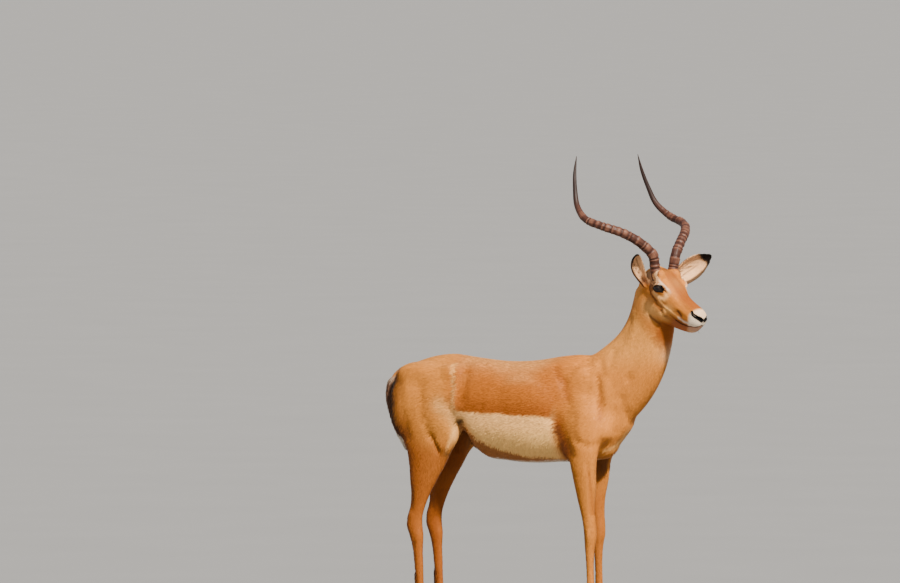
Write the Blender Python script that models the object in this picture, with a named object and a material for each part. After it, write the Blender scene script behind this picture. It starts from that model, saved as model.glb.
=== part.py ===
"""Impala ram standing with its head turned to the right: a still, life-size model in solids.

Metres, +X towards the nose, +Y to the animal's left, +Z up, the hooves on z = 0. The origin is
the middle of the footprint of the whole animal's box. One body is lofted, fused by a voxel
remesh and softened, then parted by thin cuts into trunk, neck, head and legs.
"""

import math

import bmesh
import bpy
import numpy as np
from mathutils import Matrix, Vector

# ---------------------------------------------------------------- driving dimensions
WITHERS = 0.866  # height of the back over the shoulders
RUMP_X, CHEST_X = -0.352, 0.452  # ends of the trunk
FORE_X, HIND_X = 0.340, -0.243  # where the cannon bones stand
FORE_Y, HIND_Y = 0.066, 0.078  # half the stance, in front and behind
LEFT_FORE_STEP = -0.030  # the left foreleg stands this far behind the right one
LEFT_HIND_STEP = -0.006

BROW = Vector((0.607, -0.060, 1.069))  # the point midway between the eyes
HEAD_YAW = math.radians(-20)  # turned to its own right
HEAD_PITCH = math.radians(30)  # nose down

EYE_R = 0.0172
EYE_AT = Vector((-0.0085, 0.0495, 0.0095))  # in the head's frame, the left one
EAR_WIDTHS, EAR_WALL = {1: 0.074, -1: 0.050}, 0.0050
EAR_ROOT = Vector((-0.062, 0.034, 0.006))  # towards the nose, outwards and up from the brow
EAR_SAGS = {1: 0.005, -1: 0.0}  # how far the leaf hangs below its middle line
EAR_TIPS = {1: Vector((0.012, 0.172, 0.108)), -1: Vector((-0.008, 0.141, 0.118))}
EAR_FACINGS = {1: Vector((1.0, -0.25, 0.10)), -1: Vector((1.00, 0.30, 0.05))}  # the cup opens so
HORN_R = 0.0158
HORN_RINGS, RINGED_SHARE, RING_HEIGHT = 15, 0.70, 0.0018
TAIL_LENGTH = 0.280
HOOF_LENGTH, HOOF_WIDTH, HOOF_HEIGHT = 0.052, 0.0170, 0.030
CLEFT = 0.0022  # between the two hooves of a foot

FLANK_FOLD = (-0.100, 0.620)  # x and z of the hollow between thigh and belly
GAP = 0.0004  # between neighbouring solids
VOXEL = 0.0055  # of the remesh that fuses the body
BODY_TRIANGLES = 3080
CENTRE_SHIFT = Vector((-0.1769, 0.0044, 0.0))  # puts the box's middle over the origin

COAT = {
    "saddle": (0.42, 0.16, 0.045),
    "tan": (0.60, 0.32, 0.13),
    "white": (0.80, 0.74, 0.66),
    "horn": (0.06, 0.04, 0.032),
    "hoof": (0.035, 0.03, 0.028),
    "eye": (0.01, 0.007, 0.005),
}

# ---------------------------------------------------------------- small tools


def clear_scene():
    for obj in list(bpy.data.objects):
        bpy.data.objects.remove(obj)


def material(name, colour, roughness=0.7):
    made = bpy.data.materials.get(name) or bpy.data.materials.new(name)
    made.use_nodes = True
    shader = made.node_tree.nodes["Principled BSDF"]
    shader.inputs["Base Color"].default_value = (*colour, 1)
    shader.inputs["Roughness"].default_value = roughness
    return made


def new_object(name, points, faces):
    mesh = bpy.data.meshes.new(name)
    mesh.from_pydata([tuple(p) for p in points], [], faces)
    mesh.update()
    obj = bpy.data.objects.new(name, mesh)
    bpy.context.scene.collection.objects.link(obj)
    return obj


def remove(*objects):
    for obj in objects:
        bpy.data.objects.remove(obj)


def curve_through(knots, values, at):
    """Smooth values at `at`, passing through `values` at `knots`, one row each."""
    knots, at = np.asarray(knots, float), np.asarray(at, float)
    values = np.asarray(values, float).reshape(len(knots), -1)
    slopes = np.gradient(values, knots, axis=0)
    i = np.clip(np.searchsorted(knots, at, side="right") - 1, 0, len(knots) - 2)
    span = (knots[i + 1] - knots[i])[:, None]
    t = (at[:, None] - knots[i][:, None]) / span
    return (
        (2 * t**3 - 3 * t**2 + 1) * values[i]
        + (t**3 - 2 * t**2 + t) * span * slopes[i]
        + (3 * t**2 - 2 * t**3) * values[i + 1]
        + (t**3 - t**2) * span * slopes[i + 1]
    )


def oval(around, width, rise, drop, power):
    """Points of a closed outline: sideways and upwards, squarer as power passes 2."""
    angle = np.linspace(0, 2 * math.pi, around, endpoint=False)
    c, s = np.cos(angle), np.sin(angle)
    side = width * np.sign(c) * np.abs(c) ** (2 / power)
    up = np.where(s >= 0, rise, drop) * np.sign(s) * np.abs(s) ** (2 / power)
    return side, up


def loft(name, rows, around=28, steps=6):
    """A closed body through rows of (centre, side, up, half width, rise, drop, power).

    Side and up are the directions of each section; rise and drop are its reach from the centre
    along up and against it.
    """
    flat = [[*c, *s, *u, w, r, d, p] for c, s, u, w, r, d, p in rows]
    centres = np.array([row[:3] for row in flat])
    steps_between = np.linalg.norm(np.diff(centres, axis=0), axis=1)
    knots = np.concatenate([[0], np.cumsum(np.maximum(steps_between, 1e-4))])
    at = np.concatenate(
        [np.linspace(a, b, steps, endpoint=False) for a, b in zip(knots, knots[1:])]
        + [knots[-1:]]
    )
    fine = curve_through(knots, flat, at)
    points = []
    for row in fine:
        centre, side, up = row[:3], row[3:6], row[6:9]
        side, up = side / np.linalg.norm(side), up / np.linalg.norm(up)
        across, along = oval(around, row[9], row[10], row[11], row[12])
        points.append(centre + across[:, None] * side + along[:, None] * up)
    count = len(points)
    points = np.concatenate([*points, fine[:1, :3], fine[-1:, :3]])
    faces = [
        (
            r * around + k,
            r * around + (k + 1) % around,
            (r + 1) * around + (k + 1) % around,
            (r + 1) * around + k,
        )
        for r in range(count - 1)
        for k in range(around)
    ]
    first, last = count * around, count * around + 1
    for k in range(around):
        after = (k + 1) % around
        faces.append((first, after, k))
        faces.append((last, (count - 1) * around + k, (count - 1) * around + after))
    obj = new_object(name, points, faces)
    face_out(obj)
    return obj


def face_out(obj):
    work = bmesh.new()
    work.from_mesh(obj.data)
    bmesh.ops.recalc_face_normals(work, faces=work.faces)
    work.to_mesh(obj.data)
    work.free()


def ball(name, centre, radii, turn=(0, 0, 0), segments=24):
    """An ellipsoid: centre, three half sizes, and its turn about X, Y and Z in degrees."""
    mesh = bpy.data.meshes.new(name)
    work = bmesh.new()
    bmesh.ops.create_uvsphere(work, u_segments=segments, v_segments=segments // 2, radius=1)
    turning = Matrix.Rotation(math.radians(turn[2]), 4, "Z")
    turning @= Matrix.Rotation(math.radians(turn[1]), 4, "Y")
    turning @= Matrix.Rotation(math.radians(turn[0]), 4, "X")
    place = Matrix.Translation(centre) @ turning @ Matrix.Diagonal((*radii, 1))
    bmesh.ops.transform(work, matrix=place, verts=work.verts)
    work.to_mesh(mesh)
    work.free()
    obj = bpy.data.objects.new(name, mesh)
    bpy.context.scene.collection.objects.link(obj)
    return obj


def applied(obj, name=None):
    """The object's mesh with its modifiers applied, as a new object in its place."""
    graph = bpy.context.evaluated_depsgraph_get()
    mesh = bpy.data.meshes.new_from_object(obj.evaluated_get(graph))
    made = bpy.data.objects.new(name or obj.name + "_applied", mesh)
    bpy.context.scene.collection.objects.link(made)
    made.matrix_world = obj.matrix_world
    remove(obj)
    return made


def join(name, objects):
    """One object holding the meshes of all of these."""
    work = bmesh.new()
    for obj in objects:
        work.from_mesh(obj.data)
    mesh = bpy.data.meshes.new(name)
    work.to_mesh(mesh)
    work.free()
    remove(*objects)
    obj = bpy.data.objects.new(name, mesh)
    bpy.context.scene.collection.objects.link(obj)
    return obj


def boolean(obj, other, operation, name=None):
    cut = obj.modifiers.new(operation.lower(), "BOOLEAN")
    cut.operation, cut.object, cut.solver = operation, other, "EXACT"
    return applied(obj, name or obj.name)


# ---------------------------------------------------------------- head frame

LEVEL_HEAD = Matrix.Translation(BROW) @ Matrix.Rotation(HEAD_YAW, 4, "Z")
HEAD = LEVEL_HEAD @ Matrix.Rotation(HEAD_PITCH, 4, "Y")
TO_LEFT = HEAD.to_3x3() @ Vector((0, 1, 0))
HEAD_UP = HEAD.to_3x3() @ Vector((0, 0, 1))


def in_head(x, y, z):
    return HEAD @ Vector((x, y, z))


# ---------------------------------------------------------------- trunk, neck, head


def trunk():
    """Rump to breast: x, back, widest level, belly, half width, power of the outline."""
    sections = [
        (RUMP_X, 0.775, 0.735, 0.690, 0.030, 2.0),
        (-0.340, 0.806, 0.725, 0.635, 0.062, 2.0),
        (-0.290, 0.830, 0.710, 0.590, 0.088, 2.0),
        (-0.200, 0.857, 0.712, 0.610, 0.104, 1.75),
        (-0.140, 0.861, 0.712, 0.622, 0.106, 1.60),
        (-0.100, 0.855, 0.702, 0.608, 0.109, 1.70),
        (-0.060, 0.849, 0.688, 0.557, 0.114, 2.05),
        (0.040, 0.841, 0.672, 0.530, 0.124, 2.1),
        (0.140, 0.847, 0.668, 0.526, 0.125, 2.1),
        (0.220, 0.861, 0.664, 0.531, 0.114, 2.0),
        (0.300, WITHERS, 0.655, 0.532, 0.098, 1.9),
        (0.350, 0.855, 0.655, 0.544, 0.088, 1.9),
        (0.400, 0.810, 0.665, 0.580, 0.070, 1.9),
        (CHEST_X, 0.750, 0.690, 0.640, 0.040, 2.0),
    ]
    side, up = Vector((0, 1, 0)), Vector((0, 0, 1))
    rows = [
        (Vector((x, 0, wide)), side, up, width, back - wide, wide - belly, power)
        for x, back, wide, belly, width, power in sections
    ]
    return loft("trunk_form", rows, around=40)


def neck():
    """From inside the breast up to the skull: x, y, z, half width, towards nape, towards throat."""
    sections = [
        (0.285, 0.000, 0.700, 0.070, 0.120, 0.120),
        (0.360, 0.000, 0.752, 0.076, 0.119, 0.128),
        (0.430, 0.000, 0.815, 0.069, 0.108, 0.121),
        (0.486, -0.008, 0.885, 0.059, 0.094, 0.104),
        (0.516, -0.018, 0.955, 0.053, 0.080, 0.092),
        (0.530, -0.026, 1.020, 0.050, 0.069, 0.088),
        (0.536, -0.032, 1.075, 0.047, 0.060, 0.078),
    ]
    centres = [Vector(row[:3]) for row in sections]
    last = len(sections) - 1
    rows = []
    for i, (*_, width, nape, throat) in enumerate(sections):
        along = (centres[min(i + 1, last)] - centres[max(i - 1, 0)]).normalized()
        side = Vector((0, 1, 0)).lerp(TO_LEFT, i / last)
        side = (side - along * side.dot(along)).normalized()
        rows.append((centres[i], side, along.cross(side), width, nape, throat, 2.0))
    return loft("neck_form", rows, around=32)


def head_loft(name, sections, around=36):
    """Head's frame, back to nose: x, top, widest level, bottom, half width, power."""
    rows = [
        (in_head(x, 0, wide), TO_LEFT, HEAD_UP, width, top - wide, wide - bottom, power)
        for x, top, wide, bottom, width, power in sections
    ]
    return loft(name, rows, around=around)


def head_forms():
    """Skull with the upper jaw, lower jaw, brows, cheeks and nostrils."""
    skull = [
        (-0.110, 0.010, -0.020, -0.050, 0.026, 2.0),
        (-0.097, 0.033, -0.016, -0.064, 0.040, 2.0),
        (-0.070, 0.046, -0.010, -0.076, 0.0470, 2.0),
        (-0.040, 0.050, -0.004, -0.080, 0.0505, 2.1),
        (-0.012, 0.044, 0.002, -0.080, 0.0530, 2.1),
        (0.015, 0.038, 0.002, -0.076, 0.0505, 2.1),
        (0.043, 0.0290, -0.008, -0.070, 0.0420, 2.15),
        (0.069, 0.0235, -0.014, -0.062, 0.0355, 2.2),
        (0.095, 0.0225, -0.016, -0.055, 0.0320, 2.3),
        (0.121, 0.0225, -0.015, -0.050, 0.0305, 2.4),
        (0.140, 0.0210, -0.014, -0.045, 0.0300, 2.5),
        (0.155, 0.0155, -0.014, -0.039, 0.0265, 2.5),
        (0.162, 0.0080, -0.015, -0.035, 0.0210, 2.4),
        (0.1670, -0.0020, -0.017, -0.029, 0.0115, 2.1),
    ]
    jaw = [
        (-0.055, -0.045, -0.068, -0.084, 0.024, 2.0),
        (-0.040, -0.040, -0.070, -0.097, 0.034, 2.0),
        (-0.010, -0.040, -0.071, -0.101, 0.0355, 2.0),
        (0.025, -0.045, -0.070, -0.099, 0.0320, 2.0),
        (0.055, -0.048, -0.066, -0.090, 0.0265, 2.0),
        (0.090, -0.045, -0.060, -0.081, 0.0210, 2.1),
        (0.124, -0.038, -0.052, -0.071, 0.0175, 2.2),
        (0.148, -0.032, -0.043, -0.060, 0.0165, 2.3),
        (0.158, -0.030, -0.039, -0.050, 0.0135, 2.2),
        (0.163, -0.032, -0.037, -0.043, 0.0065, 2.0),
    ]
    made = [head_loft("skull_form", skull), head_loft("jaw_form", jaw, around=28)]
    turn, pitch = math.degrees(HEAD_YAW), math.degrees(HEAD_PITCH)
    for s in (1, -1):
        forms = [
            ((-0.010, 0.0475 * s, 0.0240), (0.026, 0.0120, 0.0115)),  # brow
            ((-0.039, 0.0330 * s, 0.0350), (0.024, 0.0210, 0.0210)),  # root of the horn
            ((-0.004, 0.0330 * s, -0.046), (0.054, 0.0145, 0.038)),  # cheek
            ((0.148, 0.0170 * s, -0.006), (0.018, 0.0110, 0.0130)),  # nostril
        ]
        made += [ball("form", in_head(*at), radii, (0, pitch, turn)) for at, radii in forms]
    return made


# ---------------------------------------------------------------- limbs


def column(name, sections, around=20, steps=5):
    """A limb through level ovals: z, x, y, half length fore and aft, half width."""
    side, forward = Vector((0, 1, 0)), Vector((1, 0, 0))
    rows = [
        (Vector((x, y, z)), side, forward, wide, length, length, 2.0)
        for z, x, y, length, wide in sections
    ]
    return loft(name, rows, around=around, steps=steps)


def foreleg(s, step):
    """Shoulder to pastern. The leg above the elbow keeps its place in the trunk."""
    x, y = FORE_X + step, FORE_Y * s
    sections = [
        (0.740, 0.315, 0.062 * s, 0.052, 0.030),
        (0.680, 0.325, 0.070 * s, 0.066, 0.034),
        (0.620, 0.322 + step * 0.2, 0.076 * s, 0.066, 0.034),
        (0.570, 0.317 + step * 0.4, 0.077 * s, 0.056, 0.033),
        (0.520, 0.320 + step * 0.6, 0.076 * s, 0.044, 0.031),
        (0.470, 0.325 + step * 0.8, 0.073 * s, 0.037, 0.027),
        (0.415, x - 0.011, 0.070 * s, 0.0290, 0.0225),
        (0.360, x - 0.005, 0.068 * s, 0.0222, 0.0185),
        (0.328, x - 0.001, 0.067 * s, 0.0208, 0.0185),
        (0.300, x, 0.066 * s, 0.0200, 0.0180),
        (0.272, x - 0.002, y, 0.0165, 0.0150),
        (0.235, x - 0.002, y, 0.0135, 0.0125),
        (0.150, x, y, 0.0125, 0.0118),
        (0.108, x, y, 0.0140, 0.0135),
        (0.086, x + 0.001, y, 0.0165, 0.0162),
        (0.066, x + 0.006, y, 0.0148, 0.0155),
        (0.048, x + 0.013, y, 0.0145, 0.0165),
        (0.030, x + 0.019, y, 0.0175, 0.0180),
        (0.010, x + 0.022, y, 0.0175, 0.0180),
    ]
    return column("foreleg_form", sections)


def hindleg(s, step):
    """Haunch to pastern: thigh, gaskin, hock, cannon."""
    x, y = HIND_X + step, HIND_Y * s
    sections = [
        (0.790, -0.235, 0.050 * s, 0.080, 0.036),
        (0.740, -0.228, 0.056 * s, 0.122, 0.042),
        (0.690, -0.218, 0.061 * s, 0.124, 0.044),
        (0.640, -0.208, 0.064 * s, 0.114, 0.043),
        (0.600, -0.207, 0.066 * s, 0.097, 0.040),
        (0.560, -0.211, 0.068 * s, 0.080, 0.037),
        (0.515, -0.217 + step * 0.5, 0.071 * s, 0.064, 0.033),
        (0.470, -0.227 + step, 0.074 * s, 0.047, 0.028),
        (0.428, -0.237 + step, 0.076 * s, 0.034, 0.023),
        (0.385, -0.247 + step, 0.077 * s, 0.0255, 0.0180),
        (0.350, -0.256 + step, 0.078 * s, 0.0250, 0.0170),
        (0.322, -0.2575 + step, y, 0.0265, 0.0175),
        (0.292, -0.251 + step, y, 0.0230, 0.0170),
        (0.255, x - 0.004, y, 0.0175, 0.0140),
        (0.200, x, y, 0.0148, 0.0124),
        (0.125, x + 0.004, y, 0.0140, 0.0124),
        (0.100, x + 0.006, y, 0.0152, 0.0140),
        (0.082, x + 0.008, y, 0.0170, 0.0160),
        (0.062, x + 0.014, y, 0.0148, 0.0155),
        (0.046, x + 0.021, y, 0.0140, 0.0162),
        (0.030, x + 0.027, y, 0.0172, 0.0178),
        (0.010, x + 0.030, y, 0.0172, 0.0178),
    ]
    return column("hindleg_form", sections)


def muscles():
    """The swellings that show under the coat: centre, half sizes, turn about Y."""
    forms = [
        ((0.292, 0.060, 0.730), (0.060, 0.026, 0.110), 18),  # shoulder blade
        ((0.372, 0.060, 0.640), (0.045, 0.028, 0.048), 0),  # point of the shoulder
        ((0.290, 0.080, 0.622), (0.062, 0.027, 0.052), -25),  # upper arm
        ((0.268, 0.076, 0.566), (0.022, 0.017, 0.028), 0),  # elbow
        ((-0.215, 0.050, 0.778), (0.120, 0.042, 0.056), 10),  # croup
        ((-0.140, 0.062, 0.796), (0.044, 0.024, 0.034), 0),  # hip bone
        ((-0.280, 0.060, 0.700), (0.060, 0.044, 0.110), 14),  # back of the thigh
        ((-0.165, 0.078, 0.650), (0.062, 0.034, 0.095), -12),  # front of the thigh
        ((-0.158, 0.078, 0.588), (0.040, 0.029, 0.045), 0),  # stifle
        ((-0.085, 0.086, 0.700), (0.050, 0.018, 0.040), -30),  # fold of the flank
        ((0.120, 0.072, 0.690), (0.160, 0.056, 0.115), 0),  # ribs
    ]
    return [
        ball("muscle", (c[0], c[1] * s, c[2]), radii, (0, turn, 0))
        for c, radii, turn in forms
        for s in (1, -1)
    ]


def underside():
    """Brisket, sheath and scrotum."""
    return [
        ball("brisket", (0.350, 0, 0.600), (0.060, 0.050, 0.060), (0, -40, 0)),
        ball("sheath", (-0.052, 0, 0.566), (0.056, 0.017, 0.015), (0, 22, 0)),
        ball("scrotum", (-0.215, 0, 0.596), (0.026, 0.028, 0.038), (0, 0, 0)),
    ]


def fused_body():
    """All the flesh as one closed mesh: voxels fuse the forms and a smoothing softens them."""
    forms = [trunk(), neck(), *head_forms(), *muscles(), *underside()]
    for s, fore_step, hind_step in ((1, LEFT_FORE_STEP, LEFT_HIND_STEP), (-1, 0, 0)):
        forms.append(foreleg(s, fore_step))
        forms.append(hindleg(s, hind_step))
    body = join("body", forms)
    remesh = body.modifiers.new("fuse", "REMESH")
    remesh.mode, remesh.voxel_size = "VOXEL", VOXEL
    body = applied(body, "body")
    soften(body)
    body = applied(body, "body")
    thin = body.modifiers.new("thin", "DECIMATE")
    thin.ratio = BODY_TRIANGLES / (2 * len(body.data.polygons))
    return applied(body, "body")


def soften(body):
    """Smooths the trunk most and the slim parts least, so that they keep their size."""
    points = np.array([v.co for v in body.data.vertices])
    low = np.clip((points[:, 2] - 0.46) / 0.10, 0, 1)
    off_head = np.clip((np.linalg.norm(points - np.array(BROW), axis=1) - 0.12) / 0.10, 0, 1)
    off_fold = np.clip((np.linalg.norm(points[:, ::2] - FLANK_FOLD, axis=1) - 0.03) / 0.05, 0, 1)
    weight = (0.08 + 0.92 * low) * (0.10 + 0.90 * off_head) * (0.25 + 0.75 * off_fold)
    group = body.vertex_groups.new(name="soft")
    for i, w in enumerate(weight):
        group.add([i], float(w), "REPLACE")
    smooth = body.modifiers.new("soften", "SMOOTH")
    smooth.factor, smooth.iterations, smooth.vertex_group = 0.5, 44, "soft"


# ---------------------------------------------------------------- horns, ears, tail, hooves, eyes


def horn(s):
    """A lyre-shaped horn: towards the nose, outwards and up from the brow, then radius."""
    path = [
        (-0.027, 0.0290, 0.022, 1.00),
        (-0.026, 0.0420, 0.078, 1.00),
        (-0.026, 0.0500, 0.111, 0.99),
        (-0.039, 0.0830, 0.146, 0.95),
        (-0.066, 0.1340, 0.180, 0.89),
        (-0.122, 0.1820, 0.205, 0.80),
        (-0.184, 0.1880, 0.225, 0.70),
        (-0.231, 0.1755, 0.264, 0.56),
        (-0.252, 0.1635, 0.312, 0.43),
        (-0.268, 0.1477, 0.373, 0.29),
        (-0.272, 0.1365, 0.416, 0.05),
    ]
    centres = np.array([LEVEL_HEAD @ Vector((f, l * s, u)) for f, l, u, _ in path])
    lengths = np.linalg.norm(np.diff(centres, axis=0), axis=1)
    knots = np.concatenate([[0], np.cumsum(lengths)])
    share = np.linspace(0, 1, 64)
    fine = curve_through(knots, centres, share * knots[-1])
    sizes = curve_through(knots, [row[3] for row in path], share * knots[-1])[:, 0] * HORN_R
    ringed = np.clip((RINGED_SHARE - share) / 0.12, 0, 1) * np.clip((share - 0.06) / 0.03, 0, 1)
    wave = (share / RINGED_SHARE * HORN_RINGS) % 1.0
    sizes = sizes + RING_HEIGHT * ringed * (np.minimum(wave / 0.65, (1 - wave) / 0.35) - 0.5)
    tangents = np.gradient(fine, axis=0)
    tangents /= np.linalg.norm(tangents, axis=1)[:, None]
    side = np.array(TO_LEFT, float)
    rows = []
    for centre, along, size in zip(fine, tangents, sizes):
        side = side - along * side.dot(along)
        side /= np.linalg.norm(side)
        rows.append((centre, side, np.cross(along, side), size, size, size, 2.0))
    return loft("horn_form", rows, around=8, steps=1)


def ear(s):
    """A leaf curled into a cup, open forwards, as a closed shell."""
    root = np.array(LEVEL_HEAD @ Vector((EAR_ROOT.x, EAR_ROOT.y * s, EAR_ROOT.z)))
    far = EAR_TIPS[s]
    tip = np.array(LEVEL_HEAD @ Vector((far.x, far.y * s, far.z)))
    along = (tip - root) / np.linalg.norm(tip - root)
    facing = EAR_FACINGS[s]
    facing = Vector((facing.x, facing.y * s, facing.z)).normalized()
    ahead = np.array(LEVEL_HEAD.to_3x3() @ facing)
    opening = ahead - along * ahead.dot(along)
    opening /= np.linalg.norm(opening)
    across = np.cross(opening, along)
    share = np.linspace(0, 1, 12)
    half = EAR_WIDTHS[s] / 2 * curve_through(
        [0, 0.15, 0.30, 0.50, 0.70, 0.88, 1], [0.44, 0.50, 0.68, 0.95, 0.94, 0.60, 0.12], share
    )[:, 0]
    curl = np.radians(
        curve_through([0, 0.20, 0.45, 0.80, 1], [172, 125, 84, 66, 60], share)[:, 0]
    )
    lean = 0.012 * share * (1 - share) * 4  # the leaf bows back between root and tip
    wall = EAR_WALL * (1 - 0.45 * share)
    turns = np.linspace(-1, 1, 10)
    skins = []
    for inner in (False, True):
        rows = []
        for k, at in enumerate(share):
            radius = half[k] / math.sin(min(curl[k], math.pi / 2))
            edge = 0.25 + 0.75 * np.sqrt(np.clip(1 - turns**2, 0, 1))
            reach = radius - (wall[k] * edge if inner else 0)
            swing = turns * curl[k]
            middle = root + along * at * np.linalg.norm(tip - root)
            middle = middle - opening * lean[k] + opening * radius * math.cos(curl[k]) * 0.35
            middle = middle - across * EAR_SAGS[s] * math.sin(math.pi * at)
            rows.append(
                middle
                + (reach * np.sin(swing))[:, None] * across
                - (reach * np.cos(swing))[:, None] * opening
            )
        skins.append(np.array(rows))
    outer, inner = skins
    rings = [np.concatenate([o, i[::-1]]) for o, i in zip(outer, inner)]
    around = len(rings[0])
    points = np.concatenate(rings)
    faces = []
    for r in range(len(rings) - 1):
        for k in range(around):
            a, b = r * around + k, r * around + (k + 1) % around
            faces.append((a, b, b + around, a + around))
    half_count = around // 2
    for base in (0, (len(rings) - 1) * around):
        for k in range(half_count - 1):
            faces.append(
                (base + k, base + k + 1, base + around - 2 - k, base + around - 1 - k)
            )
    obj = new_object("ear_form", points, faces)
    face_out(obj)
    return obj


def tail():
    """Dock and hair, hanging against the rump: x, z, half width, half thickness."""
    top = 0.796
    sections = [
        (-0.290, top + 0.008, 0.014, 0.014),
        (-0.345, top + 0.003, 0.018, 0.014),
        (-0.370, top - 0.030, 0.021, 0.014),
        (-0.3765, top - 0.071, 0.024, 0.014),
        (-0.360, top - 0.137, 0.026, 0.015),
        (-0.332, top - 0.200, 0.024, 0.015),
        (-0.314, top - 0.245, 0.016, 0.011),
        (-0.303, top - TAIL_LENGTH, 0.004, 0.004),
    ]
    centres = [Vector((x, 0, z)) for x, z, *_ in sections]
    last = len(sections) - 1
    rows = []
    for i, (_, _, width, thick) in enumerate(sections):
        along = (centres[min(i + 1, last)] - centres[max(i - 1, 0)]).normalized()
        side = Vector((0, 1, 0))
        rows.append((centres[i], side, along.cross(side), width, thick, thick, 2.0))
    return loft("tail_form", rows, around=10, steps=2)


def hoof(x, y, out):
    """One of a foot's two hooves: its toe points forwards and its sole is flat on z = 0."""
    levels, around = 2, 16
    points = []
    for k in range(levels + 1):
        rise = k / levels
        length = HOOF_LENGTH / 2 * (1 - 0.22 * rise)
        back = -0.0145 * rise
        angle = np.linspace(0, 2 * math.pi, around, endpoint=False)
        px = length * np.cos(angle)
        narrow = 1 - 0.50 * np.clip(px / length, 0, 1) ** 1.5 - 0.12 * np.clip(-px / length, 0, 1)
        py = HOOF_WIDTH / 2 * np.sin(angle) * narrow
        py = py - out * HOOF_WIDTH * 0.16 * np.clip(px / length, 0, 1) ** 2
        bulge = 1 - 0.06 * rise
        points += [(x + back + a, y + b * bulge, HOOF_HEIGHT * 1.5 * rise) for a, b in zip(px, py)]
    faces = [
        (
            r * around + k,
            r * around + (k + 1) % around,
            (r + 1) * around + (k + 1) % around,
            (r + 1) * around + k,
        )
        for r in range(levels)
        for k in range(around)
    ]
    faces.append(tuple(range(around))[::-1])
    faces.append(tuple(levels * around + k for k in range(around)))
    obj = new_object("hoof_form", points, faces)
    face_out(obj)
    return obj


# ---------------------------------------------------------------- parting


def block(low, high):
    """A box to cut with, from corner to corner."""
    low, high = Vector(low), Vector(high)
    work = bmesh.new()
    bmesh.ops.create_cube(work, size=1)
    place = Matrix.Translation((low + high) / 2) @ Matrix.Diagonal((*(high - low), 1))
    bmesh.ops.transform(work, matrix=place, verts=work.verts)
    mesh = bpy.data.meshes.new("block")
    work.to_mesh(mesh)
    work.free()
    obj = bpy.data.objects.new("block", mesh)
    bpy.context.scene.collection.objects.link(obj)
    return obj


def copy_of(obj, name):
    made = bpy.data.objects.new(name, obj.data.copy())
    bpy.context.scene.collection.objects.link(made)
    return made


def swollen(obj, by):
    """A copy pushed out along its normals, to cut a neighbour back by a gap."""
    made = copy_of(obj, "swollen")
    work = bmesh.new()
    work.from_mesh(made.data)
    work.normal_update()
    for vertex in work.verts:
        vertex.co += vertex.normal * by * vertex.calc_shell_factor()
    work.to_mesh(made.data)
    work.free()
    return made


def kept_side(obj, name, point, normal, gap=GAP / 2):
    """What of the mesh lies ahead of the plane, closed with a flat face, as a new object."""
    normal = Vector(normal).normalized()
    made = copy_of(obj, name)
    work = bmesh.new()
    work.from_mesh(made.data)
    cut = bmesh.ops.bisect_plane(
        work,
        geom=[*work.verts, *work.edges, *work.faces],
        dist=1e-6,
        plane_co=Vector(point) + normal * gap,
        plane_no=normal,
        clear_inner=True,
    )
    edges = [e for e in cut["geom_cut"] if isinstance(e, bmesh.types.BMEdge)]
    filled = bmesh.ops.holes_fill(work, edges=edges)
    bmesh.ops.triangulate(work, faces=filled["faces"])
    bmesh.ops.recalc_face_normals(work, faces=work.faces)
    work.to_mesh(made.data)
    work.free()
    return made


def two_sides(obj, ahead, behind, point, normal):
    """Parts an object at a plane into two named ones."""
    first = kept_side(obj, ahead, point, normal)
    second = kept_side(obj, behind, point, -Vector(normal))
    remove(obj)
    return first, second


def largest_piece(obj):
    """Drops loose crumbs that a cut may leave."""
    work = bmesh.new()
    work.from_mesh(obj.data)
    seen, islands = set(), []
    for start in work.verts:
        if start in seen:
            continue
        island, todo = [], [start]
        seen.add(start)
        while todo:
            vertex = todo.pop()
            island.append(vertex)
            for edge in vertex.link_edges:
                other = edge.other_vert(vertex)
                if other not in seen:
                    seen.add(other)
                    todo.append(other)
        islands.append(island)
    islands.sort(key=len)
    for island in islands[:-1]:
        bmesh.ops.delete(work, geom=island, context="VERTS")
    work.to_mesh(obj.data)
    work.free()
    return obj


LEG_CUTS = {
    # name: (box that holds the whole leg, height of the knee or hock cut)
    "foreleg": ((0.200, 0.0, -0.1), (0.440, 0.30, 0.513), 0.300),
    "hindleg": ((-0.450, 0.0, -0.1), (-0.092, 0.30, 0.556), 0.300),
}


def parted(body):
    """The fused body as trunk, neck, head and two pieces for each leg."""
    nodes = []
    for kind, (low, high, joint) in LEG_CUTS.items():
        for side, s in (("left", 1), ("right", -1)):
            ys = sorted((0.0002 * s, high[1] * s))
            box = block((low[0], ys[0], low[2]), (high[0], ys[1], high[2]))
            leg = copy_of(body, f"{kind}_{side}")
            leg = boolean(leg, box, "INTERSECT")
            remove(box)
            upper, lower = two_sides(
                leg, f"{kind}_upper_{side}", f"{kind}_lower_{side}", (0, 0, joint), (0, 0, 1)
            )
            nodes += [largest_piece(upper), largest_piece(lower)]
    for low, high, _ in LEG_CUTS.values():
        box = block((low[0], -high[1], low[2]), (high[0], high[1], high[2] + GAP))
        body = boolean(body, box, "DIFFERENCE")
        remove(box)
    body, trunk_node = two_sides(body, "front", "trunk", (0.400, 0, 0.780), (0.903, 0, 0.430))
    across = HEAD.to_3x3() @ Vector((0.45, 0, 0.89))
    head, neck_node = two_sides(body, "head", "neck", in_head(-0.070, 0, -0.105), across)
    return nodes, largest_piece(trunk_node), largest_piece(neck_node), largest_piece(head)


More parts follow.
